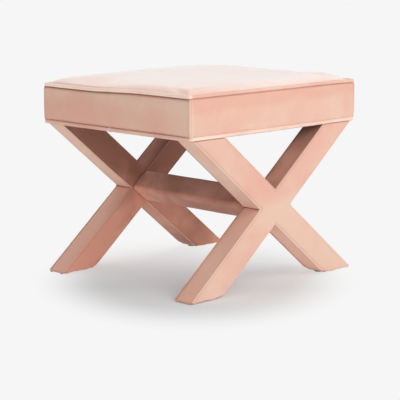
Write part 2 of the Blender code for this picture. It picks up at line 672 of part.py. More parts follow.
def build_stretcher(velvet, wood):
    stretcher = add_empty("stretcher")
    end = FRAME_OFFSET - LEG_THICKNESS / 2 - GAP
    bm = bmesh.new()
    prism(bm, diamond(0), -end, end, upright=True)
    sleeve = add_piece("stretcher_sleeve", bm, velvet, stretcher)
    bore = bmesh.new()
    prism(bore, diamond(COVER_CUT), -end - LEG_THICKNESS, end + LEG_THICKNESS, upright=True)
    cut(sleeve, bore)
    bm = bmesh.new()
    prism(bm, diamond(COVER_CUT + GAP_CUT), -end, end, upright=True)
    core = add_piece("stretcher_core", bm, wood, stretcher)
    holes = bmesh.new()
    bolt_z = FOOT_LEVEL + CROSSING_HEIGHT
    dowel_z = bolt_z + DOWEL_RISE
    for side in (-1, 1):
        out = side * (end + LEG_THICKNESS)
        bolt_end = side * (end - STRETCHER_BOLT_GRIP - GAP)
        rod(holes, BOLT_RADIUS + GAP, (0, bolt_end, bolt_z), (0, out, bolt_z))
        dowel_end = side * (end - DOWEL_DEPTH_IN_STRETCHER - GAP)
        rod(holes, DOWEL_RADIUS + GAP, (0, dowel_end, dowel_z), (0, out, dowel_z))
    cut(core, holes)


def main():
    clear_scene()
    velvet = material("blush_velvet", (0.83, 0.54, 0.43), 0.85)
    cambric = material("dust_cover_cambric", (0.02, 0.02, 0.022), 0.95)
    foam = material("seat_foam", (0.86, 0.80, 0.62), 0.95)
    batting = material("polyester_batting", (0.88, 0.88, 0.86), 0.95)
    plywood = material("birch_plywood", (0.62, 0.45, 0.28), 0.6)
    wood = material("poplar", (0.58, 0.43, 0.27), 0.65)
    steel = material("zinc_plated_steel", (0.62, 0.62, 0.64), 0.35, 1.0)
    nylon = material("brown_nylon", (0.07, 0.04, 0.03), 0.5)
    seat = add_empty("seat")
    build_seat_box(wood, plywood, seat)
    build_seat_filling(foam, batting, velvet, seat)
    build_seat_cover(velvet, cambric, seat)
    for end, turn in (("front", 0.0), ("rear", math.pi)):
        build_x_frame(end, turn, velvet, wood, steel, nylon)
    build_stretcher(velvet, wood)


main()
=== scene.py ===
"""Velvet covers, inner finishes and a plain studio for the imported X-frame bench.

Metres, +Z up. Each X-frame stands in a plane across Y, and the near seat corner is at -X, -Y.
"""

import json
import math

import bmesh
import bpy
from bpy.props import FloatProperty, FloatVectorProperty, PointerProperty
from mathutils import Matrix, Vector, noise


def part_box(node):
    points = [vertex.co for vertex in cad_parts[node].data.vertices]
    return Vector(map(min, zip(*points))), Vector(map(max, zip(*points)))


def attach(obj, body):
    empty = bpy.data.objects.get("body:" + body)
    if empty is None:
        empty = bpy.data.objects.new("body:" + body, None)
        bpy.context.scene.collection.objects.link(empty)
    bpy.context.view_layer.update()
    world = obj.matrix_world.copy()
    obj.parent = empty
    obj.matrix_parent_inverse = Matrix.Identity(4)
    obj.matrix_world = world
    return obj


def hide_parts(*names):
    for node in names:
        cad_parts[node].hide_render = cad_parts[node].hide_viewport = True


bl_info = {
    "name": "Velvet X-Frame Bench",
    "version": (1, 0, 0),
    "blender": (4, 5, 0),
    "location": "3D View > Sidebar > Bench",
    "description": "Dresses the packed X-frame bench in velvet and sets it in a plain studio",
    "category": "Object",
}

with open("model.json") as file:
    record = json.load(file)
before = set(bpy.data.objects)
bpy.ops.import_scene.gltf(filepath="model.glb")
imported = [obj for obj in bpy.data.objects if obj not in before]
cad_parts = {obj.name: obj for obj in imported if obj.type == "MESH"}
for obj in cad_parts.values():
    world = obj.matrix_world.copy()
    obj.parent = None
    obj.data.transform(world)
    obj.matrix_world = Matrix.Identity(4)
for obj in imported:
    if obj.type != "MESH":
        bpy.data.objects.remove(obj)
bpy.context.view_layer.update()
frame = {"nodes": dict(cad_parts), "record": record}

MM = 0.001
SEAM_JOIN = 1e-6  # points closer than this become one
PAD_SEAM_RISE = 0.0078  # from the underside of the top welt up to the pad's sewn edge

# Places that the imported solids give
SEAT_HALF = Vector((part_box("boxing_right")[1].x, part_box("boxing_back")[1].y))
BOXING_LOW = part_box("boxing_front")[0].z
BOXING_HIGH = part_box("boxing_front")[1].z
TOP_WELT_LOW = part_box("top_welt")[0].z
BOTTOM_WELT_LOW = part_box("bottom_welt")[0].z
PAD_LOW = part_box("seat_foam")[0].z
PAD_EDGE = TOP_WELT_LOW + PAD_SEAM_RISE
FOOT_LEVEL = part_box("front_outer_panel")[0].z
LEG_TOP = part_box("front_outer_panel")[1].z
FOOT_HALF_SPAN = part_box("front_outer_panel")[1].x
LEG_INSET = FOOT_HALF_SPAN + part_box("front_leg_rising")[0].x
TOP_HALF_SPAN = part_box("front_leg_rising")[1].x + LEG_INSET
OUTER_FACE = -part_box("front_outer_panel")[0].y
INNER_FACE = -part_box("front_inner_panel")[1].y
FRAME_MIDDLE = (OUTER_FACE + INNER_FACE) / 2
STRETCHER_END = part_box("stretcher_sleeve")[1].y
DUST_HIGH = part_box("dust_cover")[1]
GLIDES = [name for name in frame["nodes"] if "_glide_" in name]

# The two X-frames and the two ends of each, with the side of the middle that they stand on
FRAMES = (("front", -1), ("rear", 1))
SIDES = (("left", -1), ("right", 1))


def length(name, description, default):
    return FloatProperty(
        name=name, description=description, default=default, precision=4, unit="LENGTH"
    )


def degrees(name, description, default):
    return FloatProperty(
        name=name, description=description, default=math.radians(default), subtype="ANGLE"
    )


def amount(name, description, default, unit="NONE"):
    return FloatProperty(name=name, description=description, default=default, unit=unit)


def colour(name, description, default):
    return FloatVectorProperty(
        name=name, description=description, default=default,
        size=3, min=0.0, max=1.0, subtype="COLOR",
    )


class BenchSizes(bpy.types.PropertyGroup):
    leg_width: length("Leg width", "Width of a covered leg, square to its edges", 0.0615)
    corner_radius: length("Seat corner radius", "Radius of the seat's upright corners", 0.005)
    welt_radius: length("Welt radius", "Radius of the piped cord at the seat's edges", 0.0045)
    welt_dip: length("Welt dip", "How far the top welt is pulled down at its low corners", 0.0053)
    welt_lift: length("Welt lift", "How far the padding pushes the top welt up elsewhere", 0.0025)
    welt_reach: length("Welt reach", "How far the welts stand out past the boxing", 0.0011)
    boxing_bulge: length("Boxing bulge", "How far the boxing swells between its welts", 0.0011)
    seam_draw: length("Seam draw", "How far the boxing is drawn in along a welt", 0.0046)
    edge_roll: length("Edge roll", "Height of the pad's rounded edge over the top welt", 0.0114)
    centre_crown: length("Centre crown", "Extra height of the pad in its middle", 0.0054)
    corner_fill: length("Corner fill", "Fullness of the pad by its right front corner", 0.0115)
    pad_swell: length("Pad swell", "How far the filling may push the pad out", 0.0040)
    leg_crown: length("Leg crown", "How far the wadding swells a leg's faces", 0.0010)
    seam_ridge: length("Seam ridge", "Height of the pinched seam along a leg's edges", 0.0024)
    crease: length("Notch crease", "Depth of the crease where two legs cross", 0.0026)
    cover_wall: length("Cover wall", "Thickness of the velvet and its backing", 0.0014)
    hem_level: length("Hem level", "Height of a foot's hem over the floor", 0.0028)
    hem_drop: length("Hem drop", "How far the folded corners of a foot hang under its hem", 0.0022)
    heel_radius: length("Heel radius", "Radius that each foot's inner corner is eased to", 0.0550)
    sleeve_radius: length("Sleeve edge radius", "Radius of the stretcher's long edges", 0.0080)
    dust_sag: length("Dust cover sag", "How far the dust cover sags in its middle", 0.0030)
    staple_pitch: length("Staple pitch", "Distance between the dust cover's staples", 0.0420)


class BenchColours(bpy.types.PropertyGroup):
    # Each velvet mixes between its pile and shade colours by the piece's lay attribute; on most
    # pieces that mix also carries painted light and shade
    pile: colour("Velvet pile", "Velvet brushed towards the eye", (0.775, 0.525, 0.41))
    shade: colour("Velvet shade", "Velvet brushed away from the eye", (0.755, 0.425, 0.33))
    # The pad's velvet is a paler copy of the cover velvet: painted sheen, palest in the pad's
    # middle
    top_pile: colour("Top pile", "Pale pile in the middle of the seat", (0.883, 0.746, 0.681))
    top_shade: colour("Top shade", "Velvet round the edge of the seat", (0.875, 0.605, 0.515))
    # The X-frames' velvet is a darker, redder copy of the cover velvet: painted shade under the
    # seat, with its red pile as painted light on the rear left foot
    inner_pile: colour("Inner pile", "Pile of the velvet in the X-frames", (0.79, 0.375, 0.275))
    inner_shade: colour("Inner shade", "Shade of the velvet in the X-frames", (0.40, 0.172, 0.12))
    # The welt's pale pile is a painted highlight, used on the top welt's left side and the bottom
    # welt's other sides
    welt_pile: colour("Welt pile", "Pile that a welt spreads open", (1.0, 0.77, 0.65))
    welt_shade: colour("Welt shade", "Pile that lies flat along a welt", (0.75, 0.415, 0.325))
    # crest and inner_crest are pale on seam ridges, for open pile and a painted highlight; groove
    # is dark in seams and folds, for closed pile and painted shade
    crest: colour("Velvet crest", "Open pile on a pinched seam", (0.95, 0.80, 0.72))
    inner_crest: colour("Inner crest", "Open pile on seams in the X-frames", (0.894, 0.651, 0.564))
    groove: colour("Velvet groove", "Closed pile in a seam", (0.33, 0.125, 0.085))
    tip: colour("Pile tips", "Sheen on the tips of the pile", (1.0, 0.90, 0.80))
    bloom: colour("Pile bloom", "Pale tips of pile that stands up", (1.0, 0.985, 0.975))
    cambric: colour("Dust cover", "Black dust cover cloth", (0.020, 0.020, 0.022))
    poplar: colour("Poplar", "Leg cores, rails and stretcher core", (0.56, 0.43, 0.27))
    poplar_dark: colour("Poplar grain", "Darker grain of the poplar", (0.40, 0.31, 0.17))
    birch: colour("Birch plywood", "Seat deck, boards and cleats", (0.64, 0.47, 0.30))
    birch_dark: colour("Birch grain", "Darker grain of the plywood", (0.46, 0.31, 0.18))
    zinc: colour("Zinc plating", "Bolts, inserts and staples", (0.60, 0.60, 0.62))
    nylon: colour("Nylon", "Glides under the feet", (0.060, 0.038, 0.030))
    floor: colour("Floor", "Studio floor", (0.738, 0.748, 0.752))
    background: colour("Background", "Studio background", (0.9216, 0.9216, 0.9216))


class BenchStudio(bpy.types.PropertyGroup):
    azimuth: degrees("Azimuth", "Side that the camera stands on", -45.297)
    elevation: degrees("Elevation", "Camera's angle over the floor", 9.98)
    distance: length("Distance", "From the camera to the point it looks at", 3.666)
    target: FloatVectorProperty(
        name="Target", description="Point the camera looks at",
        default=(-0.00075, 0.0, 0.17145), subtype="XYZ",
    )
    lens: amount("Lens", "Focal length in millimetres", 136.4)
    ambient: amount("Ambient", "Strength of the even light all round", 0.55)
    bounce: amount("Bounce", "Light that the floor gives back of its own", 0.30)
    overhead: amount("Overhead", "Overhead softbox", 19.0, "POWER")
    front: amount("Front", "Softbox on the right of the camera", 30.0, "POWER")
    fill: amount("Fill", "Softbox beside the camera", 12.0, "POWER")


def ease(low, high, value):
    """Smooth step from 0 at low to 1 at high."""
    share = min(max((value - low) / (high - low), 0.0), 1.0)
    return share * share * (3 - 2 * share)


def bump(distance, width):
    """A soft hill, 1 at distance 0."""
    return math.exp(-((distance / width) ** 2))


def fade(distance, run):
    """A share that is 1 up to distance 0 and dies away over run."""
    return math.exp(-max(distance, 0.0) / run)


def drift(x, y, z, span):
    """Smooth noise between about -1 and 1 that changes over span."""
    return noise.noise(Vector((x, y, z)) / span)


EVEN_STEP = 1.3  # width of the even steps, in widths of the last fine one


def steps(total, fine):
    """Places from 0 to total, as close as fine lists them near both ends and even between."""
    middle = total - 2 * fine[-1]
    count = max(1, round(middle / (fine[-1] - fine[-2]) / EVEN_STEP))
    inner = [fine[-1] + middle * index / count for index in range(1, count)]
    return fine + inner + [total - place for place in reversed(fine)]


def millimetres(*places):
    return [place * MM for place in places]


def lay_grid(bm, us, vs, place):
    """A grid of faces with a corner for each pair from us and vs, put where place(u, v) says.

    place gives x, y, z and the seam tone, which paints highlight and shade: 1 pale on a pinched
    crest, -1 dark in a groove or shaded fold, 0 on plain cloth.
    """
    seam = bm.verts.layers.float.get("seam") or bm.verts.layers.float.new("seam")
    grid = bmesh.ops.create_grid(bm, x_segments=len(us) - 1, y_segments=len(vs) - 1, size=1.0)
    for vert in grid["verts"]:
        u = us[round((vert.co.x + 1) / 2 * (len(us) - 1))]
        v = vs[round((vert.co.y + 1) / 2 * (len(vs) - 1))]
        *spot, vert[seam] = place(u, v)
        vert.co = spot


def add_smoothing(piece, levels):
    smooth = piece.modifiers.new("smooth", "SUBSURF")
    smooth.levels = levels
    smooth.render_levels = levels
    return smooth


def make_piece(name, bm, finish, nodes=(), towards=None, wall=0.0, levels=0, lay=None):
    """Turn a bmesh into a piece on the bench, in place of some of its nodes.

    An open sheet is turned towards a direction and given a wall. lay gives how far a velvet's
    pile is brushed at a place, over 0 towards the eye and under 0 away from it; on most pieces
    it also carries painted light and shade.
    """
    bmesh.ops.remove_doubles(bm, verts=bm.verts, dist=SEAM_JOIN)
    bmesh.ops.recalc_face_normals(bm, faces=bm.faces)
    if towards is not None:
        bm.normal_update()
        if sum(face.normal.dot(towards) * face.calc_area() for face in bm.faces) < 0:
            bmesh.ops.reverse_faces(bm, faces=bm.faces)
    # The lay attribute carries the pile's brushing and, on most pieces, painted light and shade
    if lay is not None:
        brushed = bm.verts.layers.float.new("lay")
        for vert in bm.verts:
            vert[brushed] = lay(vert.co)
    mesh = bpy.data.meshes.new(name)
    bm.to_mesh(mesh)
    bm.free()
    mesh.materials.append(finish)
    mesh.shade_smooth()
    piece = bpy.data.objects.new(name, mesh)
    bpy.context.scene.collection.objects.link(piece)
    if levels:
        add_smoothing(piece, levels).boundary_smooth = "PRESERVE_CORNERS"
    if wall:
        thicken = piece.modifiers.new("wall", "SOLIDIFY")
        thicken.thickness = wall
        thicken.offset = -1.0
    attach(piece, "root")
    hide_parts(*nodes)
    return piece


def add_node(tree, kind, inputs=None, **settings):
    """A node with its settings, and with each input linked to a socket or set to a value."""
    made = tree.nodes.new(kind)
    for key, value in settings.items():
        setattr(made, key, value)
    for label, value in (inputs or {}).items():
        if isinstance(value, bpy.types.NodeSocket):
            tree.links.new(value, made.inputs[label])
        else:
            made.inputs[label].default_value = value
    return made


def new_group(name, colours, values):
    """An empty node group for a surface. Returns it, its inputs and a function that ends it."""
    group = bpy.data.node_groups.new(name, "ShaderNodeTree")
    for labels, kind in ((colours, "NodeSocketColor"), (values, "NodeSocketFloat")):
        for label in labels:
            group.interface.new_socket(label, in_out="INPUT", socket_type=kind)
    group.interface.new_socket("Colour", in_out="OUTPUT", socket_type="NodeSocketColor")
    for label in ("Roughness", "Height"):
        group.interface.new_socket(label, in_out="OUTPUT", socket_type="NodeSocketFloat")

    def finish(tone, roughness, height):
        results = {"Colour": tone, "Roughness": roughness, "Height": height}
        add_node(group, "NodeGroupOutput", results)
        return group

    return group, add_node(group, "NodeGroupInput").outputs, finish


def noise_node(tree, vector, scale, detail=3.0, roughness=0.5, distortion=0.0):
    inputs = {
        "Vector": vector, "Scale": scale, "Detail": detail,
        "Roughness": roughness, "Distortion": distortion,
    }
    return add_node(tree, "ShaderNodeTexNoise", inputs).outputs["Fac"]


def maths(tree, operation, first, second):
    """A Math node on two values, each a number or a socket."""
    inputs = {0: first, 1: second}
    return add_node(tree, "ShaderNodeMath", inputs, operation=operation).outputs["Value"]


def remap(tree, value, low, high, to_low, to_high, kind="LINEAR"):
    """A Map Range node: value from low and high to the other two, straight or smoothed."""
    inputs = {
        "Value": value, "From Min": low, "From Max": high, "To Min": to_low, "To Max": to_high,
    }
    made = add_node(tree, "ShaderNodeMapRange", inputs, interpolation_type=kind)
    return made.outputs["Result"]


def mix_colour(tree, factor, first, second, blend="MIX"):
    inputs = {0: factor, 6: first, 7: second}
    made = add_node(tree, "ShaderNodeMix", inputs, data_type="RGBA", blend_type=blend)
    return made.outputs[2]


def stretched(tree, scale=(1.0, 1.0, 1.0), turn=(0.0, 0.0, 0.0)):
    """Object coordinates, turned and scaled."""
    place = add_node(tree, "ShaderNodeTexCoord").outputs["Object"]
    inputs = {"Vector": place, "Rotation": turn, "Scale": scale}
    return add_node(tree, "ShaderNodeMapping", inputs).outputs["Vector"]


def velvet_nap():
    """Group: velvet whose pile lies in broad brushed patches, over a grain of single tufts.

    Lay also carries painted light and shade; Seam paints a highlight on crests and shade in
    grooves.
    """
    group, given, finish = new_group(
        "velvet_nap", ("Pile", "Shade", "Crest", "Groove"), ("Contrast", "Lay", "Seam")
    )
    clouds = noise_node(
        group, stretched(group, (1.0, 1.0, 1.3)),
        scale=7.0, detail=2.0, roughness=0.5, distortion=0.4,
    )
    strokes = noise_node(
        group, stretched(group, (1.0, 1.0, 0.7), (0.5, 0.4, 0.0)),
        scale=30.0, detail=3.0, roughness=0.55, distortion=0.6,
    )
    tufts = noise_node(
        group, stretched(group, (1.0, 1.0, 0.6)), scale=1300.0, detail=2.0, roughness=0.6
    )
    broad, fine = maths(group, "MULTIPLY", clouds, 0.8), maths(group, "MULTIPLY", strokes, 0.2)
    lie = remap(group, maths(group, "ADD", broad, fine), 0.36, 0.64, 0.0, 1.0)
    lie = maths(group, "MULTIPLY", maths(group, "SUBTRACT", lie, 0.5), given["Contrast"])
    lie = maths(group, "ADD", maths(group, "ADD", lie, given["Lay"]), 0.5)
    tone = mix_colour(group, lie, given["Shade"], given["Pile"])
    tone = mix_colour(group, 1.0, tone, remap(group, tufts, 0.3, 0.7, 0.93, 1.05), "MULTIPLY")
    # Seam tone: pale crest for open pile and a painted highlight, dark groove for closed pile and
    # painted shade
    open_pile_and_highlight = remap(group, given["Seam"], 0.1, 1.0, 0.0, 0.45)
    closed_pile_and_shade = remap(group, given["Seam"], -0.1, -1.0, 0.0, 0.75)
    tone = mix_colour(group, open_pile_and_highlight, tone, given["Crest"])
    tone = mix_colour(group, closed_pile_and_shade, tone, given["Groove"])
    rough = remap(group, maths(group, "ADD", lie, tufts), 0.3, 1.7, 0.95, 0.80)
    return finish(tone, rough, maths(group, "ADD", tufts, maths(group, "MULTIPLY", strokes, 0.8)))


def long_grain():
    """Group: wood grain that runs along X, in early and late wood."""
    group, given, finish = new_group("long_grain", ("Light", "Dark"), ("Figure",))
    along = stretched(group, (0.06, 1.0, 1.0))
    bands = noise_node(group, along, scale=120.0, detail=4.0, roughness=0.6, distortion=1.2)
    pores = noise_node(group, along, scale=1400.0, detail=2.0, roughness=0.5)
    late = maths(group, "MULTIPLY", remap(group, bands, 0.35, 0.65, 0.0, 1.0), given["Figure"])
    tone = mix_colour(group, late, given["Light"], given["Dark"])
    tone = mix_colour(group, 1.0, tone, remap(group, pores, 0.25, 0.5, 0.82, 1.0), "MULTIPLY")
    rough = remap(group, bands, 0.3, 0.7, 0.60, 0.75)
    return finish(tone, rough, maths(group, "ADD", pores, bands))


def new_finish(name):
    """A material with its Principled shader."""
    found = bpy.data.materials.new(f"{name}_finish")
    found.use_nodes = True
    return found, found.node_tree, found.node_tree.nodes["Principled BSDF"]


def bump_from(tree, height, shader, strength, distance):
    inputs = {"Height": height, "Strength": strength, "Distance": distance}
    made = add_node(tree, "ShaderNodeBump", inputs)
    tree.links.new(made.outputs["Normal"], shader.inputs["Normal"])


def surface(tree, shader, tone, roughness):
    """Feed a shader's colour and roughness."""
    tree.links.new(tone, shader.inputs["Base Color"])
    tree.links.new(roughness, shader.inputs["Roughness"])


def place_group(tree, build, shader, values):
    """Put a group in a material, built if it is the first, and feed the shader from it."""
    group = bpy.data.node_groups.get(build.__name__) or build()
    made = add_node(tree, "ShaderNodeGroup", values, node_tree=group)
    surface(tree, shader, made.outputs["Colour"], made.outputs["Roughness"])
    return made.outputs["Height"]


# Each velvet's contrast between its brushed patches, its sheen, and the colours of its pile,
# shade, crest and tips
# The top velvet is a paler copy, painted sheen for the pad; the inner velvet a darker, redder copy,
# painted shade for the parts in the X-frames
VELVETS = {
    "blush_velvet": (1.0, 0.55, ("pile", "shade", "crest", "tip")),
    "blush_velvet_top": (0.7, 1.0, ("top_pile", "top_shade", "crest", "bloom")),
    "blush_velvet_inner": (0.8, 0.35, ("inner_pile", "inner_shade", "inner_crest", "tip")),
    "blush_velvet_welt": (0.4, 0.55, ("welt_pile", "welt_shade", "crest", "tip")),
}


def velvet_finish(name):
    """One of the velvets. Its brushing and painted light, and its painted seam highlights and
    shade, come from the piece's attributes.
    """
    found = bpy.data.materials.get(f"{name}_finish")
    if found:
        return found
    colours = bpy.context.scene.bench_colours
    contrast, sheen, hues = VELVETS[name]
    pile, shade, crest, tip = ((*getattr(colours, hue), 1.0) for hue in hues)
    found, tree, shader = new_finish(name)
    values = {
        "Pile": pile, "Shade": shade, "Crest": crest, "Groove": (*colours.groove, 1.0),
        "Contrast": contrast,
    }
    for label in ("Lay", "Seam"):
        drawn = add_node(tree, "ShaderNodeAttribute", attribute_name=label.lower())
        values[label] = drawn.outputs["Fac"]
    relief = place_group(tree, velvet_nap, shader, values)
    bump_from(tree, relief, shader, strength=0.35, distance=0.4 * MM)
    shader.inputs["Specular IOR Level"].default_value = 0.15
    shader.inputs["Sheen Weight"].default_value = sheen
    shader.inputs["Sheen Roughness"].default_value = 0.38
    shader.inputs["Sheen Tint"].default_value = tip
    return found


def wood_finish(name, light, dark, figure):
    found, tree, shader = new_finish(name)
    values = {"Light": (*light, 1.0), "Dark": (*dark, 1.0), "Figure": figure}
    relief = place_group(tree, long_grain, shader, values)
    bump_from(tree, relief, shader, strength=0.2, distance=0.3 * MM)
    return found


def zinc_finish():
    found = bpy.data.materials.get("zinc_plated_steel_finish")
    if found:
        return found
    found, tree, shader = new_finish("zinc_plated_steel")
    base = (*bpy.context.scene.bench_colours.zinc, 1.0)
    spangle = noise_node(tree, stretched(tree), scale=420.0, detail=2.0, distortion=0.3)
    tone = mix_colour(tree, 1.0, base, remap(tree, spangle, 0.3, 0.7, 0.88, 1.06), "MULTIPLY")
    surface(tree, shader, tone, remap(tree, spangle, 0.3, 0.7, 0.26, 0.42))
    shader.inputs["Metallic"].default_value = 1.0
    return found


def nylon_finish():
    found, tree, shader = new_finish("brown_nylon")
    base = (*bpy.context.scene.bench_colours.nylon, 1.0)
    texture = noise_node(tree, stretched(tree), scale=1600.0, detail=2.0)
    scuffs = noise_node(tree, stretched(tree, (1.0, 0.2, 1.0)), scale=160.0, roughness=0.6)
    tone = mix_colour(tree, 1.0, base, remap(tree, scuffs, 0.3, 0.75, 0.85, 1.35), "MULTIPLY")
    surface(tree, shader, tone, remap(tree, scuffs, 0.3, 0.7, 0.38, 0.58))
    bump_from(tree, texture, shader, strength=0.15, distance=0.2 * MM)
    return found


def cambric_finish():
    found, tree, shader = new_finish("dust_cover_cambric")
    base = (*bpy.context.scene.bench_colours.cambric, 1.0)
    fibres = noise_node(
        tree, stretched(tree, (1.0, 0.25, 1.0), (0.0, 0.0, 0.6)),
        scale=900.0, detail=4.0, roughness=0.7, distortion=0.8,
    )
    inputs = {"Vector": stretched(tree), "Scale": 420.0}
    points = add_node(tree, "ShaderNodeTexVoronoi", inputs).outputs["Distance"]
    tone = mix_colour(tree, 1.0, base, remap(tree, fibres, 0.3, 0.7, 0.6, 1.8), "MULTIPLY")
    surface(tree, shader, tone, remap(tree, fibres, 0.3, 0.7, 0.75, 0.95))
    relief = maths(tree, "ADD", fibres, points)
    bump_from(tree, relief, shader, strength=0.4, distance=0.3 * MM)
    return found


def make_cover(name, bm, velvet, node, lay, towards=None):
    """Turn an open sheet into a velvet cover in place of a node."""
    make_piece(
        name, bm, velvet_finish(velvet), [node], towards=towards,
        wall=bpy.context.scene.bench_sizes.cover_wall, levels=1, lay=lay,
    )


def near_rim(u, v, start):
    """Share that rises from 0 at start to 1 at the seat's edges, without a mitre at its corners."""
    return 1 - (1 - ease(start, 1.0, abs(u))) * (1 - ease(start, 1.0, abs(v)))


def pad_lay(spot):
    """Painted sheen: the pad is palest in the middle and pinker towards its edges, most on the
    left.
    """
    u, v = spot.x / SEAT_HALF.x, spot.y / SEAT_HALF.y
    rim, left = near_rim(u, v, start=0.8), ease(0.3, 1.0, -u)
    return 0.35 - 0.25 * rim - 0.40 * left


def boxing_lay(spot):
    """The front boxing is paler between its ends and pinker under its top welt and at its ends.
    The left boxing is pinker from its middle back, with a band of painted light under its top welt.
    """
    under = BOXING_HIGH - spot.z
    if spot.y < -0.9 * SEAT_HALF.y and spot.x > 0.011 - SEAT_HALF.x:
        upper = ease(0.0, 0.012, 0.028 - under - 0.01 * drift(spot.x, 0.0, 3.0, span=0.08))
        middle, right = ease(-SEAT_HALF.x, -0.05, spot.x), ease(0.05, 0.2, spot.x)
        near_end, far_end = ease(-0.10, -0.19, spot.x), ease(0.19, 0.25, spot.x)
        ends = (0.5 - 0.25 * upper) * near_end + 0.4 * far_end
        return 0.35 * middle + 0.3 * right - 0.7 * upper - ends
    if spot.x + SEAT_HALF.x > SEAT_HALF.y - abs(spot.y):
        return 0.0
    upper = ease(0.042, 0.012, under)
    middle, far_end = ease(-0.22, -0.12, spot.y), ease(0.05, 0.2, spot.y)
    return 0.65 * upper - 0.10 - 0.25 * middle - 0.45 * far_end


def welt_lay(spot):
    """Painted highlight: the top welt is palest on the left side, and the bottom welt on the other
    sides.
    """
    left = ease(0.0, 0.010, 0.012 - SEAT_HALF.x - spot.x)
    on_top = spot.z > (BOXING_LOW + BOXING_HIGH) / 2
    return 0.75 * left - 0.30 if on_top else 0.10 - 0.45 * left


def outer_lay(spot):
    """The outer panels are pinker on the arms and paler on the feet and towards the right."""
    arms, right = ease(0.10, 0.30, spot.z), ease(0.0, 0.2, spot.x)
    return 0.3 - 0.5 * arms + 0.15 * right


def inner_lay(spot):
    """Painted shade and light: inner sides are darker under the seat, most on the right arms; on
    the rear frame the left foot is paler and the right foot darker.
    """
    arms = ease(0.06, 0.33, spot.z)
    right_arm = ease(0.0, 0.1, spot.x) * ease(0.22, 0.32, spot.z)
    # Painted shade under the seat, most on the right arms
    brushed = 0.25 - 0.85 * arms - 0.5 * right_arm
    if spot.y < 0:
        return brushed
    left_foot = bump(math.hypot(spot.x + 0.19, spot.z - 0.08), width=0.10)
    right_foot = bump(math.hypot(spot.x - 0.15, spot.z - 0.12), width=0.12)
    return brushed + 0.55 * left_foot - 0.60 * right_foot


def side_lay(spot):
    """The strips on the sides of an X are pinker on the legs than on the arms, and darkest where
    the legs cross, painted shade for the crease.
    """
    legs, notch = ease(0.21, 0.17, spot.z), bump(spot.z - 0.165, width=0.03)
    return 0.1 - 0.6 * legs - 0.5 * notch


def strip_lay(spot):
    """Painted shade: the strips inside the X are darker under the seat, and those of the rear frame
    darker all over.
    """
    if spot.y > 0:
        legs, arms = ease(0.20, 0.14, spot.z), ease(0.20, 0.33, spot.z)
        return -0.15 - 0.12 * legs - 0.35 * arms
    return 0.32 - 0.75 * ease(0.28, 0.36, spot.z)


def sleeve_lay(spot):
    """Painted light and shade: the sleeve is paler towards its rear end and darker towards its
    front end, with a redder underside.
    """
    along, underside = spot.y / STRETCHER_END, ease(0.20, 0.16, spot.z)
    return 0.05 + 0.35 * along - 0.25 * underside


RIGHT_DIP = 0.3  # share of the top welt's dip at the right front corner
RIGHT_DIP_WIDTH = 0.045


def edge_dip(sizes, x, y):
    """How far the seat's top edge is down: at its left and right corners, and up elsewhere."""
    left = ease(-0.10, 0.10, y) * ease(0.05, -SEAT_HALF.x, x)
    right = RIGHT_DIP * bump(math.hypot(x - SEAT_HALF.x, y + SEAT_HALF.y), width=RIGHT_DIP_WIDTH)
    return sizes.welt_dip * (left + right) - sizes.welt_lift


ROLL_START = 9  # a higher power starts the pad's rounded edge closer to its seam
ROLL_POWER = 0.38  # a lower power makes that edge squarer


def crown_rise(sizes, u, v):
    """Height of the pad's top over its sewn edge, for u and v from -1 to 1."""
    roll = ((1 - abs(u) ** ROLL_START) * (1 - abs(v) ** ROLL_START)) ** ROLL_POWER
    return sizes.edge_roll * roll + sizes.centre_crown * (1 - u * u) * (1 - v * v)


def pad_plan(sizes, u, v, inset):
    """Place (u, v) in the seat's plan, drawn in by inset, with rounded corners."""
    half = SEAT_HALF - Vector((inset, inset))
    radius = max(sizes.corner_radius - inset, MM)
    x, y = u * half.x, v * half.y
    a = (abs(x) - half.x + radius) / radius
    b = (abs(y) - half.y + radius) / radius
    if a > 0 and b > 0:
        x = math.copysign(half.x - radius + radius * a * math.sqrt(1 - b * b / 2), x)
        y = math.copysign(half.y - radius + radius * b * math.sqrt(1 - a * a / 2), y)
    return x, y


PAD_DIVISIONS = 40
PAD_CROWDING = 1.8  # how much closer the pad's grid lines come towards its edges
WELT_OVERLAP = 1.4 * MM  # of the pad's sewn edge and the top welt
SIDE_INSET = 3.8 * MM  # of the pad's sides, inside the boxing
SHOULDER = 9 * MM  # height over which the pad widens under the top welt
# Corners of the pad that are fuller or flatter: share of the corner fill, and place in the seat
CORNER_FILLS = ((1.0, 0.91, -0.78), (0.75, -0.93, 0.87), (-0.4, 0.90, 0.88))
FILL_WIDTH = 0.040
FILL_END = 12  # a higher power lets a fill come closer to the seat's left and right edges


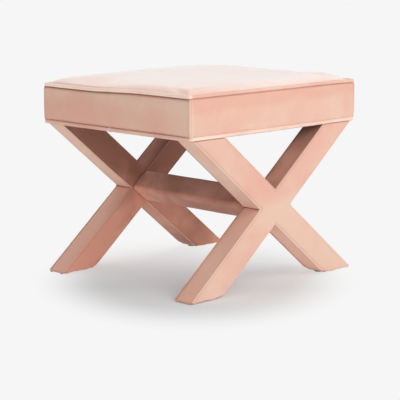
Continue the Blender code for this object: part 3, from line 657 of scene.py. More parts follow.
def pad_form(sizes, slack):
    """The pad as cut: a crowned top, slack below its full height, on sides down to the deck."""
    sewn = 2 * sizes.welt_radius - WELT_OVERLAP
    even = [2 * i / PAD_DIVISIONS - 1 for i in range(PAD_DIVISIONS + 1)]
    shares = [math.copysign(1 - (1 - abs(t)) ** PAD_CROWDING, t) for t in even]
    low = slack / (sizes.edge_roll + sizes.centre_crown)

    def top(u, v):
        rise = crown_rise(sizes, u, v)
        for share, mid_u, mid_v in CORNER_FILLS:
            corner = Vector(((u - mid_u) * SEAT_HALF.x, (v - mid_v) * SEAT_HALF.y))
            fill = share * sizes.corner_fill * bump(corner.length, width=FILL_WIDTH)
            rise += fill * (1 - abs(u) ** FILL_END)
        x, y = pad_plan(sizes, u, v, sewn)
        dip = edge_dip(sizes, x, y) * near_rim(u, v, start=0.7)
        return x, y, PAD_EDGE + rise * (1 - low) - dip, 0.0

    bm = bmesh.new()
    lay_grid(bm, shares, shares, top)
    rim = [edge for edge in bm.edges if edge.is_boundary]
    rings = (
        (sewn, TOP_WELT_LOW), (SIDE_INSET, TOP_WELT_LOW - SHOULDER), (SIDE_INSET, PAD_LOW),
    )
    for inset, level in rings:
        made = bmesh.ops.extrude_edge_only(bm, edges=rim)["geom"]
        for vert in (item for item in made if isinstance(item, bmesh.types.BMVert)):
            grow_x = (SEAT_HALF.x - inset) / max(abs(vert.co.x), SEAT_HALF.x - sewn)
            grow_y = (SEAT_HALF.y - inset) / max(abs(vert.co.y), SEAT_HALF.y - sewn)
            vert.co = (vert.co.x * max(grow_x, 1.0), vert.co.y * max(grow_y, 1.0), level)
        edges = (item for item in made if isinstance(item, bmesh.types.BMEdge))
        rim = [edge for edge in edges if edge.is_boundary]
    bmesh.ops.contextual_create(bm, geom=rim)
    bmesh.ops.recalc_face_normals(bm, faces=bm.faces)
    return bm


def baked(piece):
    """The piece's mesh with its modifiers applied."""
    graph = bpy.context.evaluated_depsgraph_get()
    return bpy.data.meshes.new_from_object(piece.evaluated_get(graph))


VOXEL = 0.006  # of the even mesh that the cloth runs on
FILL_FRAMES = 20
HELD_OVER = 1 * MM  # the pad's cloth is held up to this far over its sewn edge


def fill_out(piece, sewn_level, swell):
    """Cloth pressure fills the pad from its cut shape.

    Points under sewn_level are held, and none moves past swell.
    """
    remesh = piece.modifiers.new("even mesh", "REMESH")
    remesh.mode = "VOXEL"
    remesh.voxel_size = VOXEL
    even = baked(piece)
    piece.modifiers.remove(remesh)
    piece.data = even
    starts = [vert.co.copy() for vert in even.vertices]
    held = piece.vertex_groups.new(name="held")
    held.add([vert.index for vert in even.vertices if vert.co.z < sewn_level], 1.0, "REPLACE")
    cloth = piece.modifiers.new("filling", "CLOTH")
    cloth.settings.quality = 4
    cloth.settings.mass = 0.2
    cloth.settings.use_pressure = True
    cloth.settings.uniform_pressure_force = 4.0
    cloth.settings.vertex_group_mass = held.name
    cloth.settings.effector_weights.gravity = 0.0
    cloth.point_cache.frame_start = 1
    cloth.point_cache.frame_end = FILL_FRAMES
    for number in range(1, FILL_FRAMES + 1):
        bpy.context.scene.frame_set(number)
    filled = baked(piece)
    piece.modifiers.remove(cloth)
    for vert, start, end in zip(piece.data.vertices, starts, filled.vertices):
        move = end.co - start
        vert.co = start + move * min(1.0, swell / max(move.length, SEAM_JOIN))
    bpy.context.scene.frame_set(1)
    piece.vertex_groups.remove(held)
    bpy.data.meshes.remove(filled)


PAD_SEAM_INSET = 8 * MM  # from the seat's side to the pad's seam
GROOVE_UNDER = 3 * MM  # the pad is in the groove from this far under its sewn edge, and painted dark there as shade
PULL_RIDGES = 9  # in a full turn round a corner, a quarter of which is on the pad


def pull_seams(sizes, piece, level):
    """Gathers along the pad's sewn edge and pulls out of its corners, and its seam tones: painted
    shade in the groove under the welt and along the edge.
    """
    for name in ("seam", "lay"):
        old = piece.data.attributes.get(name)
        if old:
            piece.data.attributes.remove(old)
        piece.data.attributes.new(name, "FLOAT", "POINT")
    seam = piece.data.attributes["seam"]
    lay = piece.data.attributes["lay"]
    for vert in piece.data.vertices:
        lay.data[vert.index].value = pad_lay(vert.co)
        x, y = vert.co.x, vert.co.y
        # Painted shade: dark where the pad goes into the groove under the top welt, a little darker
        # along its sewn edge
        if vert.co.z + edge_dip(sizes, x, y) < level:
            seam.data[vert.index].value = -1.0
            continue
        to_side = SEAT_HALF - Vector((abs(x), abs(y)))
        edge = max(min(to_side) - PAD_SEAM_INSET, 0.0)
        gather = 0.55 * MM * fade(edge, run=0.012) * drift(x, y, 0.0, span=0.013)
        fan = PULL_RIDGES * math.atan2(to_side.y, to_side.x) + drift(x, y, 1.0, span=0.05)
        pull = 0.9 * MM * fade(to_side.length, run=0.030) * math.sin(fan)
        wander = 0.5 * MM * drift(x, y, 2.0, span=0.14) * ease(0.0, 0.05, edge)
        vert.co.z += gather + pull + wander
        seam.data[vert.index].value = -0.15 * fade(edge, run=2 * MM)


class BENCH_OT_seat_pad(bpy.types.Operator):
    """Make the crowned velvet pad, filled out over its foam"""

    bl_idname = "bench.seat_pad"
    bl_label = "Seat pad"

    def execute(self, context):
        sizes = context.scene.bench_sizes
        slack = sizes.pad_swell
        pad = make_piece(
            "seat_pad", pad_form(sizes, slack), velvet_finish("blush_velvet_top"),
            ("seat_top_panel", "batting_wrap", "seat_foam"), lay=pad_lay,
        )
        fill_out(pad, PAD_EDGE + HELD_OVER, sizes.pad_swell)
        pull_seams(sizes, pad, PAD_EDGE - GROOVE_UNDER)
        pad.data.shade_smooth()
        add_smoothing(pad, levels=1)
        return {"FINISHED"}


def side_path(half_length, half_depth, radius):
    """Route of a seat side that faces -Y, from one corner seam to the next, and its length."""
    quarter = math.pi / 4 * radius
    straight = 2 * (half_length - radius)
    total = straight + 2 * quarter

    def at(along):
        if along < quarter or along > total - quarter:
            side = -1 if along < quarter else 1
            past = quarter - along if side < 0 else along - (total - quarter)
            angle = past / radius
            out = Vector((side * math.sin(angle), -math.cos(angle)))
            return Vector((side * (half_length - radius), radius - half_depth)) + out * radius, out
        return Vector((along - quarter - (half_length - radius), -half_depth)), Vector((0.0, -1.0))

    return at, total


SEAT_TURNS = {"front": 0.0, "right": math.pi / 2, "back": math.pi, "left": -math.pi / 2}
BOXING_STEPS = millimetres(0.0, 0.4, 0.9, 1.5, 2.2, 3.2, 4.6, 6.6, 9.5, 14.0, 21.0)
BOXING_TUCK = 3 * MM  # how far the boxing goes on behind its welts
TUCK_SLOPE = 0.6  # how far it goes in there for each metre up or down
FRONT_SEAMS = (0.15, 0.45)  # how tight the front's lower and upper seams are, and how much of the painted seam shade they take; 1 on other sides
LEAST_DRAW = 0.4  # share of the draw along a slack seam
CORNER_DRAW = 0.25  # share of the draw at a corner seam
HOLLOW_AT = 3.2 * MM  # from a corner seam to the hollow beside its bead
LEFT_SHADE = 1.9  # painted shade of the boxing under the top welt on the left, darker than on the other sides


def boxing_sheet(sizes, side, index, turn):
    """One boxing panel, swollen between its welts and pinched at its corner seams."""
    tall = BOXING_HIGH - BOXING_LOW
    half = SEAT_HALF if index % 2 == 0 else SEAT_HALF.yx
    at, total = side_path(half.x, half.y, sizes.corner_radius)
    spin = Matrix.Rotation(turn, 2)

    def place(along, up):
        spot, out = (spin @ found for found in at(along))
        edge, end = min(up, tall - up), min(along, total - along)
        upper = up > tall / 2
        tightness_and_shade = FRONT_SEAMS[upper] if side == "front" else 1.0
        swell = sizes.boxing_bulge * (1 - fade(edge, run=0.014))
        drawn = sizes.seam_draw * fade(edge, run=0.0027)
        drawn *= CORNER_DRAW + (1 - CORNER_DRAW) * ease(0.0, 0.022, end)
        drawn *= LEAST_DRAW + (1 - LEAST_DRAW) * tightness_and_shade
        drawn += TUCK_SLOPE * max(-edge, 0.0)
        bunched = 1 + 0.7 * bump(tall - up - 4 * MM, width=4 * MM)
        bead = 1.0 * MM * bunched * bump(end, width=1.2 * MM)
        bead -= 0.6 * MM * bump(end - HOLLOW_AT, width=1.5 * MM)
        gather = 0.55 * MM * fade(edge, run=0.010) * drift(along, index, 0.0, span=0.011)
        wander = 0.45 * MM * drift(along, up, index, span=0.055) * ease(0.0, 0.02, edge)
        spot = spot + out * (swell - drawn + bead + gather + wander)
        # Pale on the bead of a corner seam, for open pile and a painted highlight; painted shade in
        # the hollow beside it and in the seams along the welts
        tone = 0.5 * bunched * bump(end, width=1.1 * MM)
        tone -= 0.4 * bump(end - HOLLOW_AT, width=1.3 * MM)
        shade = LEFT_SHADE if side == "left" and upper else tightness_and_shade
        tone -= shade * fade(edge, run=1.9 * MM)
        # Painted shade in small puckers along the bottom of the left side
        if side == "left":
            pucker_shade = max(drift(along, 1.0, 6.0, span=0.007), 0.0)
            tone -= 0.8 * pucker_shade * fade(up, run=6 * MM)
        dip = edge_dip(sizes, spot.x, spot.y) * up / tall
        return spot.x, spot.y, BOXING_LOW + up - dip, max(-1.0, min(tone, 1.0))

    behind = (BOXING_TUCK / 2, BOXING_TUCK)
    heights = [-tuck for tuck in reversed(behind)] + steps(tall, BOXING_STEPS[::2])
    heights += [tall + tuck for tuck in behind]
    bm = bmesh.new()
    lay_grid(bm, steps(total, BOXING_STEPS), heights, place)
    return bm


class BENCH_OT_boxing(bpy.types.Operator):
    """Make the four boxing panels, drawn in at the welts and pinched at the corner seams"""

    bl_idname = "bench.boxing"
    bl_label = "Boxing"

    def execute(self, context):
        for index, (side, turn) in enumerate(SEAT_TURNS.items()):
            bm = boxing_sheet(context.scene.bench_sizes, side, index, turn)
            towards = Matrix.Rotation(turn, 3, "Z") @ Vector((0, -1, 0))
            make_cover(
                f"boxing_band_{side}", bm, "blush_velvet", f"boxing_{side}", boxing_lay, towards
            )
        return {"FINISHED"}


CORNER_STEPS = 5  # along each half of a welt's corner
WELT_PITCH = 0.0045  # of the points along a welt
WELT_SIDES = 16
WELT_EASE = 0.5 * MM  # by which a welt's corners turn wider than the cord's radius
CORNER_PUSH = 1.2 * MM  # further reach of a welt round a corner
JOIN_Y = 0.015  # where the ends of the bottom welt meet, on the left side of the seat
KNOT_WIDTH = 2.4 * MM


def seat_loop(inset, radius, pitch):
    """Points round the seat at an inset, each with its outward direction and distance along."""
    half = SEAT_HALF - Vector((inset, inset))
    loop = []
    travelled = 0.0
    for index, turn in enumerate((-math.pi / 2, 0.0, math.pi / 2, math.pi)):
        long, deep = (half.y, half.x) if index % 2 == 0 else (half.x, half.y)
        at, total = side_path(long, deep, radius)
        quarter = math.pi / 4 * radius
        count = round((total - 2 * quarter) / pitch)
        corner = [quarter * i / CORNER_STEPS for i in range(CORNER_STEPS)]
        places = corner + [quarter + (total - 2 * quarter) * i / count for i in range(count)]
        places += [total - quarter + place for place in corner]
        spin = Matrix.Rotation(turn, 2)
        for along in places:
            spot, out = at(along)
            loop.append((spin @ spot, spin @ out, travelled + along))
        travelled += total
    return loop, travelled


def welt_sheet(sizes, low, joined):
    """A piped cord round the seat, joined in a knot, or going up and down with the pad's edge."""
    loop, total = seat_loop(sizes.welt_radius, sizes.welt_radius + WELT_EASE, WELT_PITCH)
    loop.append((loop[0][0], loop[0][1], total))

    def place(index, roll):
        spot, out, along = loop[index]
        swing = (along % total) / total * math.tau

        def ripple(shift, waves):
            return noise.noise(Vector((math.cos(swing), math.sin(swing), shift + low)) * waves)

        pucker = 1 + 0.035 * ripple(0, 34)
        lift = 0.25 * MM * ripple(5, 9)
        knot = 0.0
        if joined and spot.x < 0 and abs(spot.x) > SEAT_HALF.x - 2 * sizes.welt_radius:
            off = abs(spot.y - JOIN_Y)
            knot = bump(off, width=KNOT_WIDTH)
            pucker += 0.5 * knot - 0.25 * bump(off - 5.5 * MM, width=1.8 * MM)
        if not joined:
            lift -= edge_dip(sizes, spot.x, spot.y)
        radius = sizes.welt_radius * pucker
        push = sizes.welt_reach + CORNER_PUSH * (2 * abs(out.x * out.y)) ** 2
        # Seam tone of the cord: paler over its top, outer side and knot, a painted highlight, and
        # painted shade on its inner side and underneath
        inward, under = ease(0.0, -0.9, math.cos(roll)), ease(-0.3, -1.0, math.sin(roll))
        tone = max(-1.0, 0.2 + 0.7 * knot - 1.2 * inward - under)
        reach = spot + out * (radius * math.cos(roll) + push)
        return reach.x, reach.y, low + sizes.welt_radius + radius * math.sin(roll) + lift, tone

    bm = bmesh.new()
    around = [math.tau * i / WELT_SIDES for i in range(WELT_SIDES + 1)]
    lay_grid(bm, range(len(loop)), around, place)
    return bm


class BENCH_OT_welts(bpy.types.Operator):
    """Make the piped welts round the top and the bottom of the seat"""

    bl_idname = "bench.welts"
    bl_label = "Welts"

    def execute(self, context):
        velvet = velvet_finish("blush_velvet_welt")
        welts = (("top_welt", TOP_WELT_LOW, False), ("bottom_welt", BOTTOM_WELT_LOW, True))
        for node, low, joined in welts:
            bm = welt_sheet(context.scene.bench_sizes, low, joined)
            make_piece(
                f"{node}_cord", bm, velvet, [node], levels=1, lay=welt_lay
            )
        return {"FINISHED"}


RIM_PROFILE = [
    # distance in from the panel's edge and height over its face, in millimetres, for a ridge 1 high
    (-1.60, -0.50), (-1.50, 0.00), (-1.25, 0.60), (-0.50, 1.00), (0.50, 0.95), (1.30, 0.35),
    (2.20, -0.20), (3.60, -0.15), (6.50, -0.04), (9.50, 0.0), (14.0, 0.0), (19.0, 0.0), (24.0, 0.0),
]


def rim_height(inset):
    """Share of the seam ridge's height at an inset from the panel's edge, from its profile."""
    for (near, low), (far, high) in zip(RIM_PROFILE, RIM_PROFILE[1:]):
        if inset < far * MM:
            share = max((inset / MM - near) / (far - near), 0.0)
            return low + (high - low) * share
    return 0.0


RIM_SHADE = 2.5  # how much painted shade a hollow beside the ridge gets, for its depth


def rim_tone(inset):
    """Seam tone of the panel's rim: pale on the ridge (open pile and painted highlight), painted
    shade on either side of it.
    """
    ridge = rim_height(inset)
    if inset < 0:
        return max(ridge, 0.0)
    return ridge if ridge > 0 else RIM_SHADE * ridge


class Crossing:
    """The plan of an X in its own plane, x along the seat and z up.

    Line a runs along the rising leg and line b along the falling one, each -1 at the leg's left
    edge and 1 at its right edge.
    """

    def __init__(self, leg_width):
        tall = LEG_TOP - FOOT_LEVEL
        reach = FOOT_HALF_SPAN + TOP_HALF_SPAN
        rise_term = tall * math.sqrt(tall**2 + reach**2 - leg_width**2)
        cut = leg_width * (rise_term - leg_width * reach) / (tall**2 - leg_width**2)
        self.half = cut / 2
        self.run = (reach - cut) / tall
        self.level = math.sqrt(1 + self.run**2)
        self.centre = FOOT_LEVEL + (FOOT_HALF_SPAN - cut / 2) / self.run

    def across(self, inset):
        """Share of the way from a leg's middle to its edge, at an inset from that edge."""
        return 1 - inset * self.level / self.half

    def meet(self, a, b):
        return (a + b) * self.half / 2, self.centre + (b - a) * self.half / (2 * self.run)

    def x_at(self, lean, line, z):
        return lean * (z - self.centre) * self.run + line * self.half

    def lines(self, x, z):
        shift = (z - self.centre) * self.run
        return (x - shift) / self.half, (x + shift) / self.half

    def inside(self, x, z):
        """Distance in from the nearest edge of the X."""
        depths = [(1 - abs(line)) * self.half / self.level for line in self.lines(x, z)]
        return math.hypot(*depths) if min(depths) > 0 else max(depths)

    def seam_share(self, x, z, flat):
        """Share of the seam ridge that stands: 1 by a leg's left edge, flat by its right edge."""
        lines = self.lines(x, z)
        depths = [1 - abs(line) for line in lines]
        if min(depths) <= 0:
            return 1.0 if lines[depths.index(max(depths))] < 0 else flat
        weights = [depth**2 for depth in depths]
        shares = [1.0 if line < 0 else flat for line in lines]
        return sum(w * share for w, share in zip(weights, shares)) / sum(weights)

    def in_diamond(self, x, z):
        """Distance in from the edge of the diamond where the legs cross."""
        return min(1 - abs(line) for line in self.lines(x, z)) * self.half / self.level


HEM_CLEARANCE = 0.9 * MM  # of the lowest hem over the floor
HEM_WAVE = 2.2 * MM


def heel_ease(sizes, plan, along):
    """How far a foot's inner corner is rounded off, at a distance from it along edge or hem."""
    radius = sizes.heel_radius
    lean = math.atan2(plan.run, 1.0)
    tangent = radius * math.tan((math.pi / 2 - lean) / 2)
    return radius - math.sqrt(radius**2 - max(tangent - along, 0.0) ** 2)


def foot_hem(sizes, plan, from_toe, from_heel, seed):
    """Level of a foot's hem: blunt at the toe, low where the cloth is folded by toe and heel."""
    tip = 2.6 * MM * bump(from_toe, width=3.2 * MM)
    fold = bump(from_toe - 0.010, width=0.006) + 0.7 * bump(from_heel - 0.026, width=0.007)
    corner = min(from_toe, from_heel)
    wave = HEM_WAVE * drift(from_toe, seed, 0.0, span=0.012) * ease(0.0, 0.012, corner)
    level = max(sizes.hem_level - sizes.hem_drop * fold + wave, HEM_CLEARANCE)
    return level + tip + heel_ease(sizes, plan, from_heel)


def side_hem(sizes, from_edge, seed, lift):
    """Level of the hem across a foot's side: at the toe its corners are blunt and lumpy."""
    tip = 0.0 if lift else 1.6 * MM * bump(from_edge, width=2.0 * MM)
    fold = sizes.hem_drop * bump(from_edge - 0.005, width=0.005) * (0.2 if lift else 1.0)
    wave = HEM_WAVE * drift(from_edge, seed, 3.0, span=0.010) * ease(0.0, 0.008, from_edge)
    return max(sizes.hem_level - fold + wave, HEM_CLEARANCE) + tip + lift


def hem_tone(over):
    """Painted shade at a height over a hem: dark in the fold where the cloth is turned under."""
    return -fade(over, run=1.0 * MM)


PANEL_ROWS = 26
HEM_ROWS = (0.984, 0.994)  # shares of a leg's length, for the turned hem
FLAT_RIDGE = 0.4  # share of the seam ridge along a leg's right edge
FLAT_TONE = 0.1  # share of its painted highlight and shade there


def panel_sheet(sizes, plan, seed, pressed):
    """An X-shaped cover panel in its own plane, its height over the face in -Y.

    The rim is pinched up into a seam ridge. A pressed panel is flat in the diamond, where the
    stretcher butts.
    """
    right = [plan.across(inset * MM) for inset, _ in RIM_PROFILE]
    columns = [-line for line in right] + [0.0] + right[::-1]
    last = right[0]
    rows = [i / PANEL_ROWS for i in range(PANEL_ROWS)]

    def height(x, z):
        inset = plan.inside(x, z)
        seam = sizes.seam_ridge * (1 + 0.25 * drift(x, z, seed, span=0.013)) * rim_height(inset)
        seam *= plan.seam_share(x, z, FLAT_RIDGE)
        crown = sizes.leg_crown * (1 - fade(inset, run=0.010))
        wander = 0.35 * MM * drift(x, z, seed + 4, span=0.06) * ease(0.002, 0.012, inset)
        over = seam + crown + wander
        if pressed:
            flat = ease(-4 * MM, 1 * MM, plan.in_diamond(x, z))
            over = over * (1 - flat) - 0.3 * MM * flat
        return over

    def tone(x, z):
        # On a pressed panel the seam tone fades and turns over above the crossing: painted shade on
        # the ridges under the seat
        shade = 1.8 * ease(plan.centre, plan.centre + 0.05, z) if pressed else 0.0
        return rim_tone(plan.inside(x, z)) * plan.seam_share(x, z, FLAT_TONE) * (1 - shade)

    def crossing(a, b):
        x, z = plan.meet(a, b)
        return x, -height(x, z), z, tone(x, z)

    def arm(lean, up):
        other = last if up else -last

        def place(line, row):
            start = plan.meet(line, other)[1] if lean > 0 else plan.meet(-other, line)[1]
            from_toe = (1 + lean * line) * plan.half
            from_heel = 2 * plan.half - from_toe
            end = LEG_TOP if up else foot_hem(sizes, plan, from_toe, from_heel, seed + lean)
            z = start + (end - start) * row
            x = plan.x_at(lean, line, z)
            eased = heel_ease(sizes, plan, (z - FOOT_LEVEL) * plan.level) * plan.level
            eased *= ease(0.03, 0.0, from_heel)
            turned = 0.0 if up else hem_tone(z - end)
            return x - lean * eased, -height(x, z), z, min(tone(x, z), 1 + 2 * turned)

        return place

    bm = bmesh.new()
    lay_grid(bm, columns, columns, crossing)
    for lean in (1, -1):
        lay_grid(bm, columns, [*rows, 1.0], arm(lean, up=True))
        lay_grid(bm, columns, [*rows, *HEM_ROWS, 1.0], arm(lean, up=False))
    return bm


STRIP_WIDTHS = millimetres(0.0, 1.2, 3.0, 6.5, 13.0)
STRIP_STEPS = millimetres(0.0, 0.8, 2.0, 4.0, 7.0, 11.0, 17.0, 25.0, 35.0)
STRIP_ENDS = millimetres(2.2, 0.9, 0.0)
STRIP_PITCH = 0.011  # of the rows along a strip
STRIP_MARGIN = 1.4 * MM  # between a strip's edge and the outside of the panel it is sewn to
# The two arms of each strip: which way its leg leans, and on which side of the leg it lies
STRIP_ARMS = {
    "left": ((1, -1), (-1, -1)),
    "right": ((-1, 1), (1, 1)),
    "top": ((-1, 1), (1, -1)),
    "bottom": ((1, 1), (-1, -1)),
}


def strip_rows(total):
    """Places along an arm of a strip, close together in its notch and at its end."""
    rest = total - STRIP_STEPS[-1]
    count = round(rest / STRIP_PITCH)
    even = [STRIP_STEPS[-1] + rest * i / count for i in range(1, count)]
    return STRIP_STEPS + even + [total - place for place in STRIP_ENDS]


def strip_sheet(sizes, plan, word, seed):
    """One V-shaped side strip between the two panels of an X, creased in its notch."""
    reach = (OUTER_FACE - INNER_FACE) / 2 - STRIP_MARGIN
    near = [width - reach for width in STRIP_WIDTHS]
    columns = near + [0.0] + [-place for place in reversed(near)]
    sideways = word in ("left", "right")
    lift = 0.0 if sideways else heel_ease(sizes, plan, 0.0)
    hand = 1 if word == "top" else -1

    def corner_level(inset):
        if sideways:
            return plan.centre
        return plan.centre + hand * plan.across(inset) * plan.half / plan.run

    bm = bmesh.new()
    for part, (lean, side) in enumerate(STRIP_ARMS[word]):
        up = part == 1 if sideways else word == "top"
        total = abs((LEG_TOP if up else FOOT_LEVEL) - corner_level(0.0)) * plan.level

        def place(y, along):
            edge = reach - abs(y)
            tuck = 0.5 * MM * fade(edge, run=1.6 * MM)
            swell = 0.8 * sizes.leg_crown * (1 - fade(edge, run=0.009))
            crease = sizes.crease * bump(along, width=3.0 * MM)
            lip = 1.3 * MM * bump(along - 6 * MM, width=4.0 * MM) if sideways and up else 0.0
            wander = 0.3 * MM * drift(y, along, seed + part, span=0.045) * ease(0.0, 0.01, edge)
            inset = tuck - swell + crease - lip - wander
            corner = corner_level(inset)
            end = LEG_TOP if up else side_hem(sizes, edge, seed + part, lift)
            z = corner + (end - corner) * along / total
            # Painted shade along the strip's edges and in the crease of its notch
            tone = -max(0.4 * fade(edge, run=1.2 * MM), bump(along, width=2.6 * MM))
            if not up:
                tone = min(tone, hem_tone(z - end))
                if lift:
                    inset += heel_ease(sizes, plan, (z - FOOT_LEVEL) * plan.level)
            return plan.x_at(lean, side * plan.across(inset), z), y, z, tone

        lay_grid(bm, columns, strip_rows(total), place)
    return bm


# Steps between the covers' noise, so that no two covers are alike
PANEL_SEED = 3.7
FRAME_SEED = 11.3
STRIP_SEED = 2.9


class BENCH_OT_leg_panels(bpy.types.Operator):
    """Make the X-shaped velvet panels on the outside and inside of both X-frames"""

    bl_idname = "bench.leg_panels"
    bl_label = "Leg panels"

    def execute(self, context):
        sizes = context.scene.bench_sizes
        plan = Crossing(sizes.leg_width)
        panels = (
            ("front", "outer", -1), ("front", "inner", -1),
            ("rear", "inner", 1), ("rear", "outer", 1),
        )
        for number, (end, word, sign) in enumerate(panels):
            outer = word == "outer"
            face = OUTER_FACE if outer else INNER_FACE
            towards = sign if outer else -sign
            bm = panel_sheet(sizes, plan, number * PANEL_SEED, pressed=not outer)
            if towards > 0:
                half_turn = Matrix.Rotation(math.pi, 3, "Z")
                bmesh.ops.rotate(bm, cent=(0, 0, 0), matrix=half_turn, verts=bm.verts)
            bmesh.ops.translate(bm, vec=(0, sign * face, 0), verts=bm.verts)
            # Inner panels take the darker copy of the velvet, painted shade
            make_cover(
                f"{end}_{word}_cover", bm, "blush_velvet" if outer else "blush_velvet_inner",
                f"{end}_{word}_panel", outer_lay if outer else inner_lay, Vector((0, towards, 0)),
            )
        return {"FINISHED"}


class BENCH_OT_leg_strips(bpy.types.Operator):
    """Make the V-shaped velvet strips along the edges of both X-frames"""

    bl_idname = "bench.leg_strips"
    bl_label = "Leg side strips"

    def execute(self, context):
        sizes = context.scene.bench_sizes
        plan = Crossing(sizes.leg_width)
        ways = {"left": (-1, 0, 0), "right": (1, 0, 0), "top": (0, 0, 1), "bottom": (0, 0, -1)}
        for end, sign in FRAMES:
            for number, (word, way) in enumerate(ways.items()):
                bm = strip_sheet(sizes, plan, word, FRAME_SEED * sign + STRIP_SEED * number)
                bmesh.ops.translate(bm, vec=(0, sign * FRAME_MIDDLE, 0), verts=bm.verts)
                # The strips inside the X and the rear frame's bottom strip take the darker copy of
                # the velvet, painted shade
                inside = word == "top" or (end, word) == ("rear", "bottom")
                make_cover(
                    f"{end}_side_{word}", bm, "blush_velvet_inner" if inside else "blush_velvet",
                    f"{end}_strip_{word}", strip_lay if inside else side_lay, Vector(way),
                )
        return {"FINISHED"}


FOLD_SHORTER = 5 * MM  # than the foot it is under
FOLD_NARROWER = 3 * MM
FOLD_RISE = 6 * MM  # of the edge that is turned up inside the foot's cover
PLEAT_AT = 18 * MM  # from a foot's middle to where the pleats of its corners meet
GLIDE_GAP = 0.8 * MM  # of the fold round each glide


def fold_lines(half_count):
    """Even places from -1 to 1, and one past each end for the edge that is turned up."""
    return [-2.0, *(i / half_count - 1 for i in range(2 * half_count + 1)), 2.0]


def fold_sheet(plan, sign, way):
    """The velvet that is folded and pleated under one foot."""
    long = 2 * plan.half - FOLD_SHORTER
    wide = OUTER_FACE - INNER_FACE - FOLD_NARROWER
    middle = Vector((way * (FOOT_HALF_SPAN - plan.half), sign * FRAME_MIDDLE))

    def place(u, v):
        rise = FOLD_RISE * max(abs(u) - 1, abs(v) - 1, 0.0)
        u, v = min(max(u, -1.0), 1.0), min(max(v, -1.0), 1.0)
        x, y = middle.x + u * long / 2, middle.y + v * wide / 2
        across = abs(u) * long / 2 - abs(v) * wide / 2
        pleat = 0.4 * MM * bump(across - PLEAT_AT, width=2.0 * MM)
        level = FOOT_LEVEL - 0.6 * MM - pleat + 0.25 * MM * drift(x, y, 7.0, span=0.02)
        # The whole fold takes a painted shade, under the foot
        return x - way * plan.run * rise, y, level + rise, -0.5

    bm = bmesh.new()
    lay_grid(bm, fold_lines(24), fold_lines(14), place)
    return bm


def cut_hole(bm, centre, radius):
    def over(face):
        return (face.calc_center_median() - centre).xy.length < radius

    bmesh.ops.delete(bm, geom=[face for face in bm.faces if over(face)], context="FACES")


class BENCH_OT_foot_folds(bpy.types.Operator):
    """Make the velvet that is folded under each foot, open round its glides"""

    bl_idname = "bench.foot_folds"
    bl_label = "Foot folds"

    def execute(self, context):
        plan = Crossing(context.scene.bench_sizes.leg_width)
        for end, sign in FRAMES:
            for side, way in SIDES:
                bm = fold_sheet(plan, sign, way)
                for name in GLIDES:
                    if name.startswith(f"{end}_{side}_"):
                        low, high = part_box(name)
                        cut_hole(bm, (low + high) / 2, (high.x - low.x) / 2 + GLIDE_GAP)
                make_piece(
                    f"{end}_{side}_foot_fold", bm, velvet_finish("blush_velvet"),
                    towards=Vector((0, 0, -1)), wall=0.4 * MM,
                )
        return {"FINISHED"}


SLEEVE_STEPS = millimetres(0.0, 0.6, 1.5, 3.0, 5.0, 8.0, 12.0, 18.0)
SECTION_STEPS = 6  # along each edge and each side of the sleeve


def sleeve_section(plan, radius):
    """Points round the stretcher's diamond, its edges rounded, each with its outward direction."""
    corners = [Vector(plan.meet(*pair)) for pair in ((1, -1), (1, 1), (-1, 1), (-1, -1))]
    section = []
    for index, corner in enumerate(corners):
        far, past = corners[(index + 1) % 4], corners[(index + 2) % 4]
        before, after = (corners[index - 1] - corner).normalized(), (far - corner).normalized()
        half_angle = before.angle(after) / 2
        centre = corner + (before + after).normalized() * radius / math.sin(half_angle)
        start = corner + before * radius / math.tan(half_angle) - centre
        sweep = math.pi - 2 * half_angle
        for step in range(SECTION_STEPS + 1):
            spoke = Matrix.Rotation(sweep * step / SECTION_STEPS, 2) @ start
            section.append((centre + spoke, spoke.normalized()))
        next_half = (corner - far).angle(past - far) / 2
        run_end = far - after * radius / math.tan(next_half)
        run_start, facing = section[-1]
        for step in range(1, SECTION_STEPS):
            section.append((run_start.lerp(run_end, step / SECTION_STEPS), facing))
    section.append(section[0])
    return section


class BENCH_OT_stretcher_sleeve(bpy.types.Operator):
    """Make the velvet sleeve on the stretcher, with soft edges and gathered ends"""

    bl_idname = "bench.stretcher_sleeve"
    bl_label = "Stretcher sleeve"

    def execute(self, context):
        sizes = context.scene.bench_sizes
        section = sleeve_section(Crossing(sizes.leg_width), sizes.sleeve_radius)
        total = 2 * STRETCHER_END

        def place(index, along):
            spot, out = section[index]
            end, half = min(along, total - along), round(along > total / 2)
            tuck = 1.4 * MM * fade(end, run=1.4 * MM)
            gather = 0.5 * MM * fade(end, run=0.014) * drift(spot.x, spot.y, half, span=0.012)
            sag = 0.5 * MM * drift(spot.x, spot.y, along, span=0.05) * ease(0.0, 0.03, end)
            spot = spot + out * (gather + sag - tuck)
            # Dark at the tucked ends where the sleeve butts the panels: closed pile and painted
            # shade
            return spot.x, along - STRETCHER_END, spot.y, -fade(end, run=2.2 * MM)

        bm = bmesh.new()
        lay_grid(bm, range(len(section)), steps(total, SLEEVE_STEPS), place)
        make_cover("stretcher_cover", bm, "blush_velvet_inner", "stretcher_sleeve", sleeve_lay)
        return {"FINISHED"}


DUST_GAP = 0.2 * MM  # of the dust cover under the boards
NOTCH_STEPS = 8  # across each cut-out at the dust cover's corners
MIDDLE_STEPS = 14  # from a cut-out to the dust cover's middle
STAPLE = (0.010, 0.0011, 0.0007)  # length, width and thickness
STAPLE_MARGIN = 20 * MM  # from the dust cover's edge to its staples
STAPLE_DROP = 1.1 * MM  # of a staple's middle under the dust cover's top
STAPLE_TILT = 0.12  # of the most crooked staple, in radians


def dust_notch():
    """Where the dust cover's corners are cut away for the legs."""
    verts = frame["nodes"]["dust_cover"].data.vertices
    return min(round(abs(v.co.x), 5) for v in verts), min(round(abs(v.co.y), 5) for v in verts)


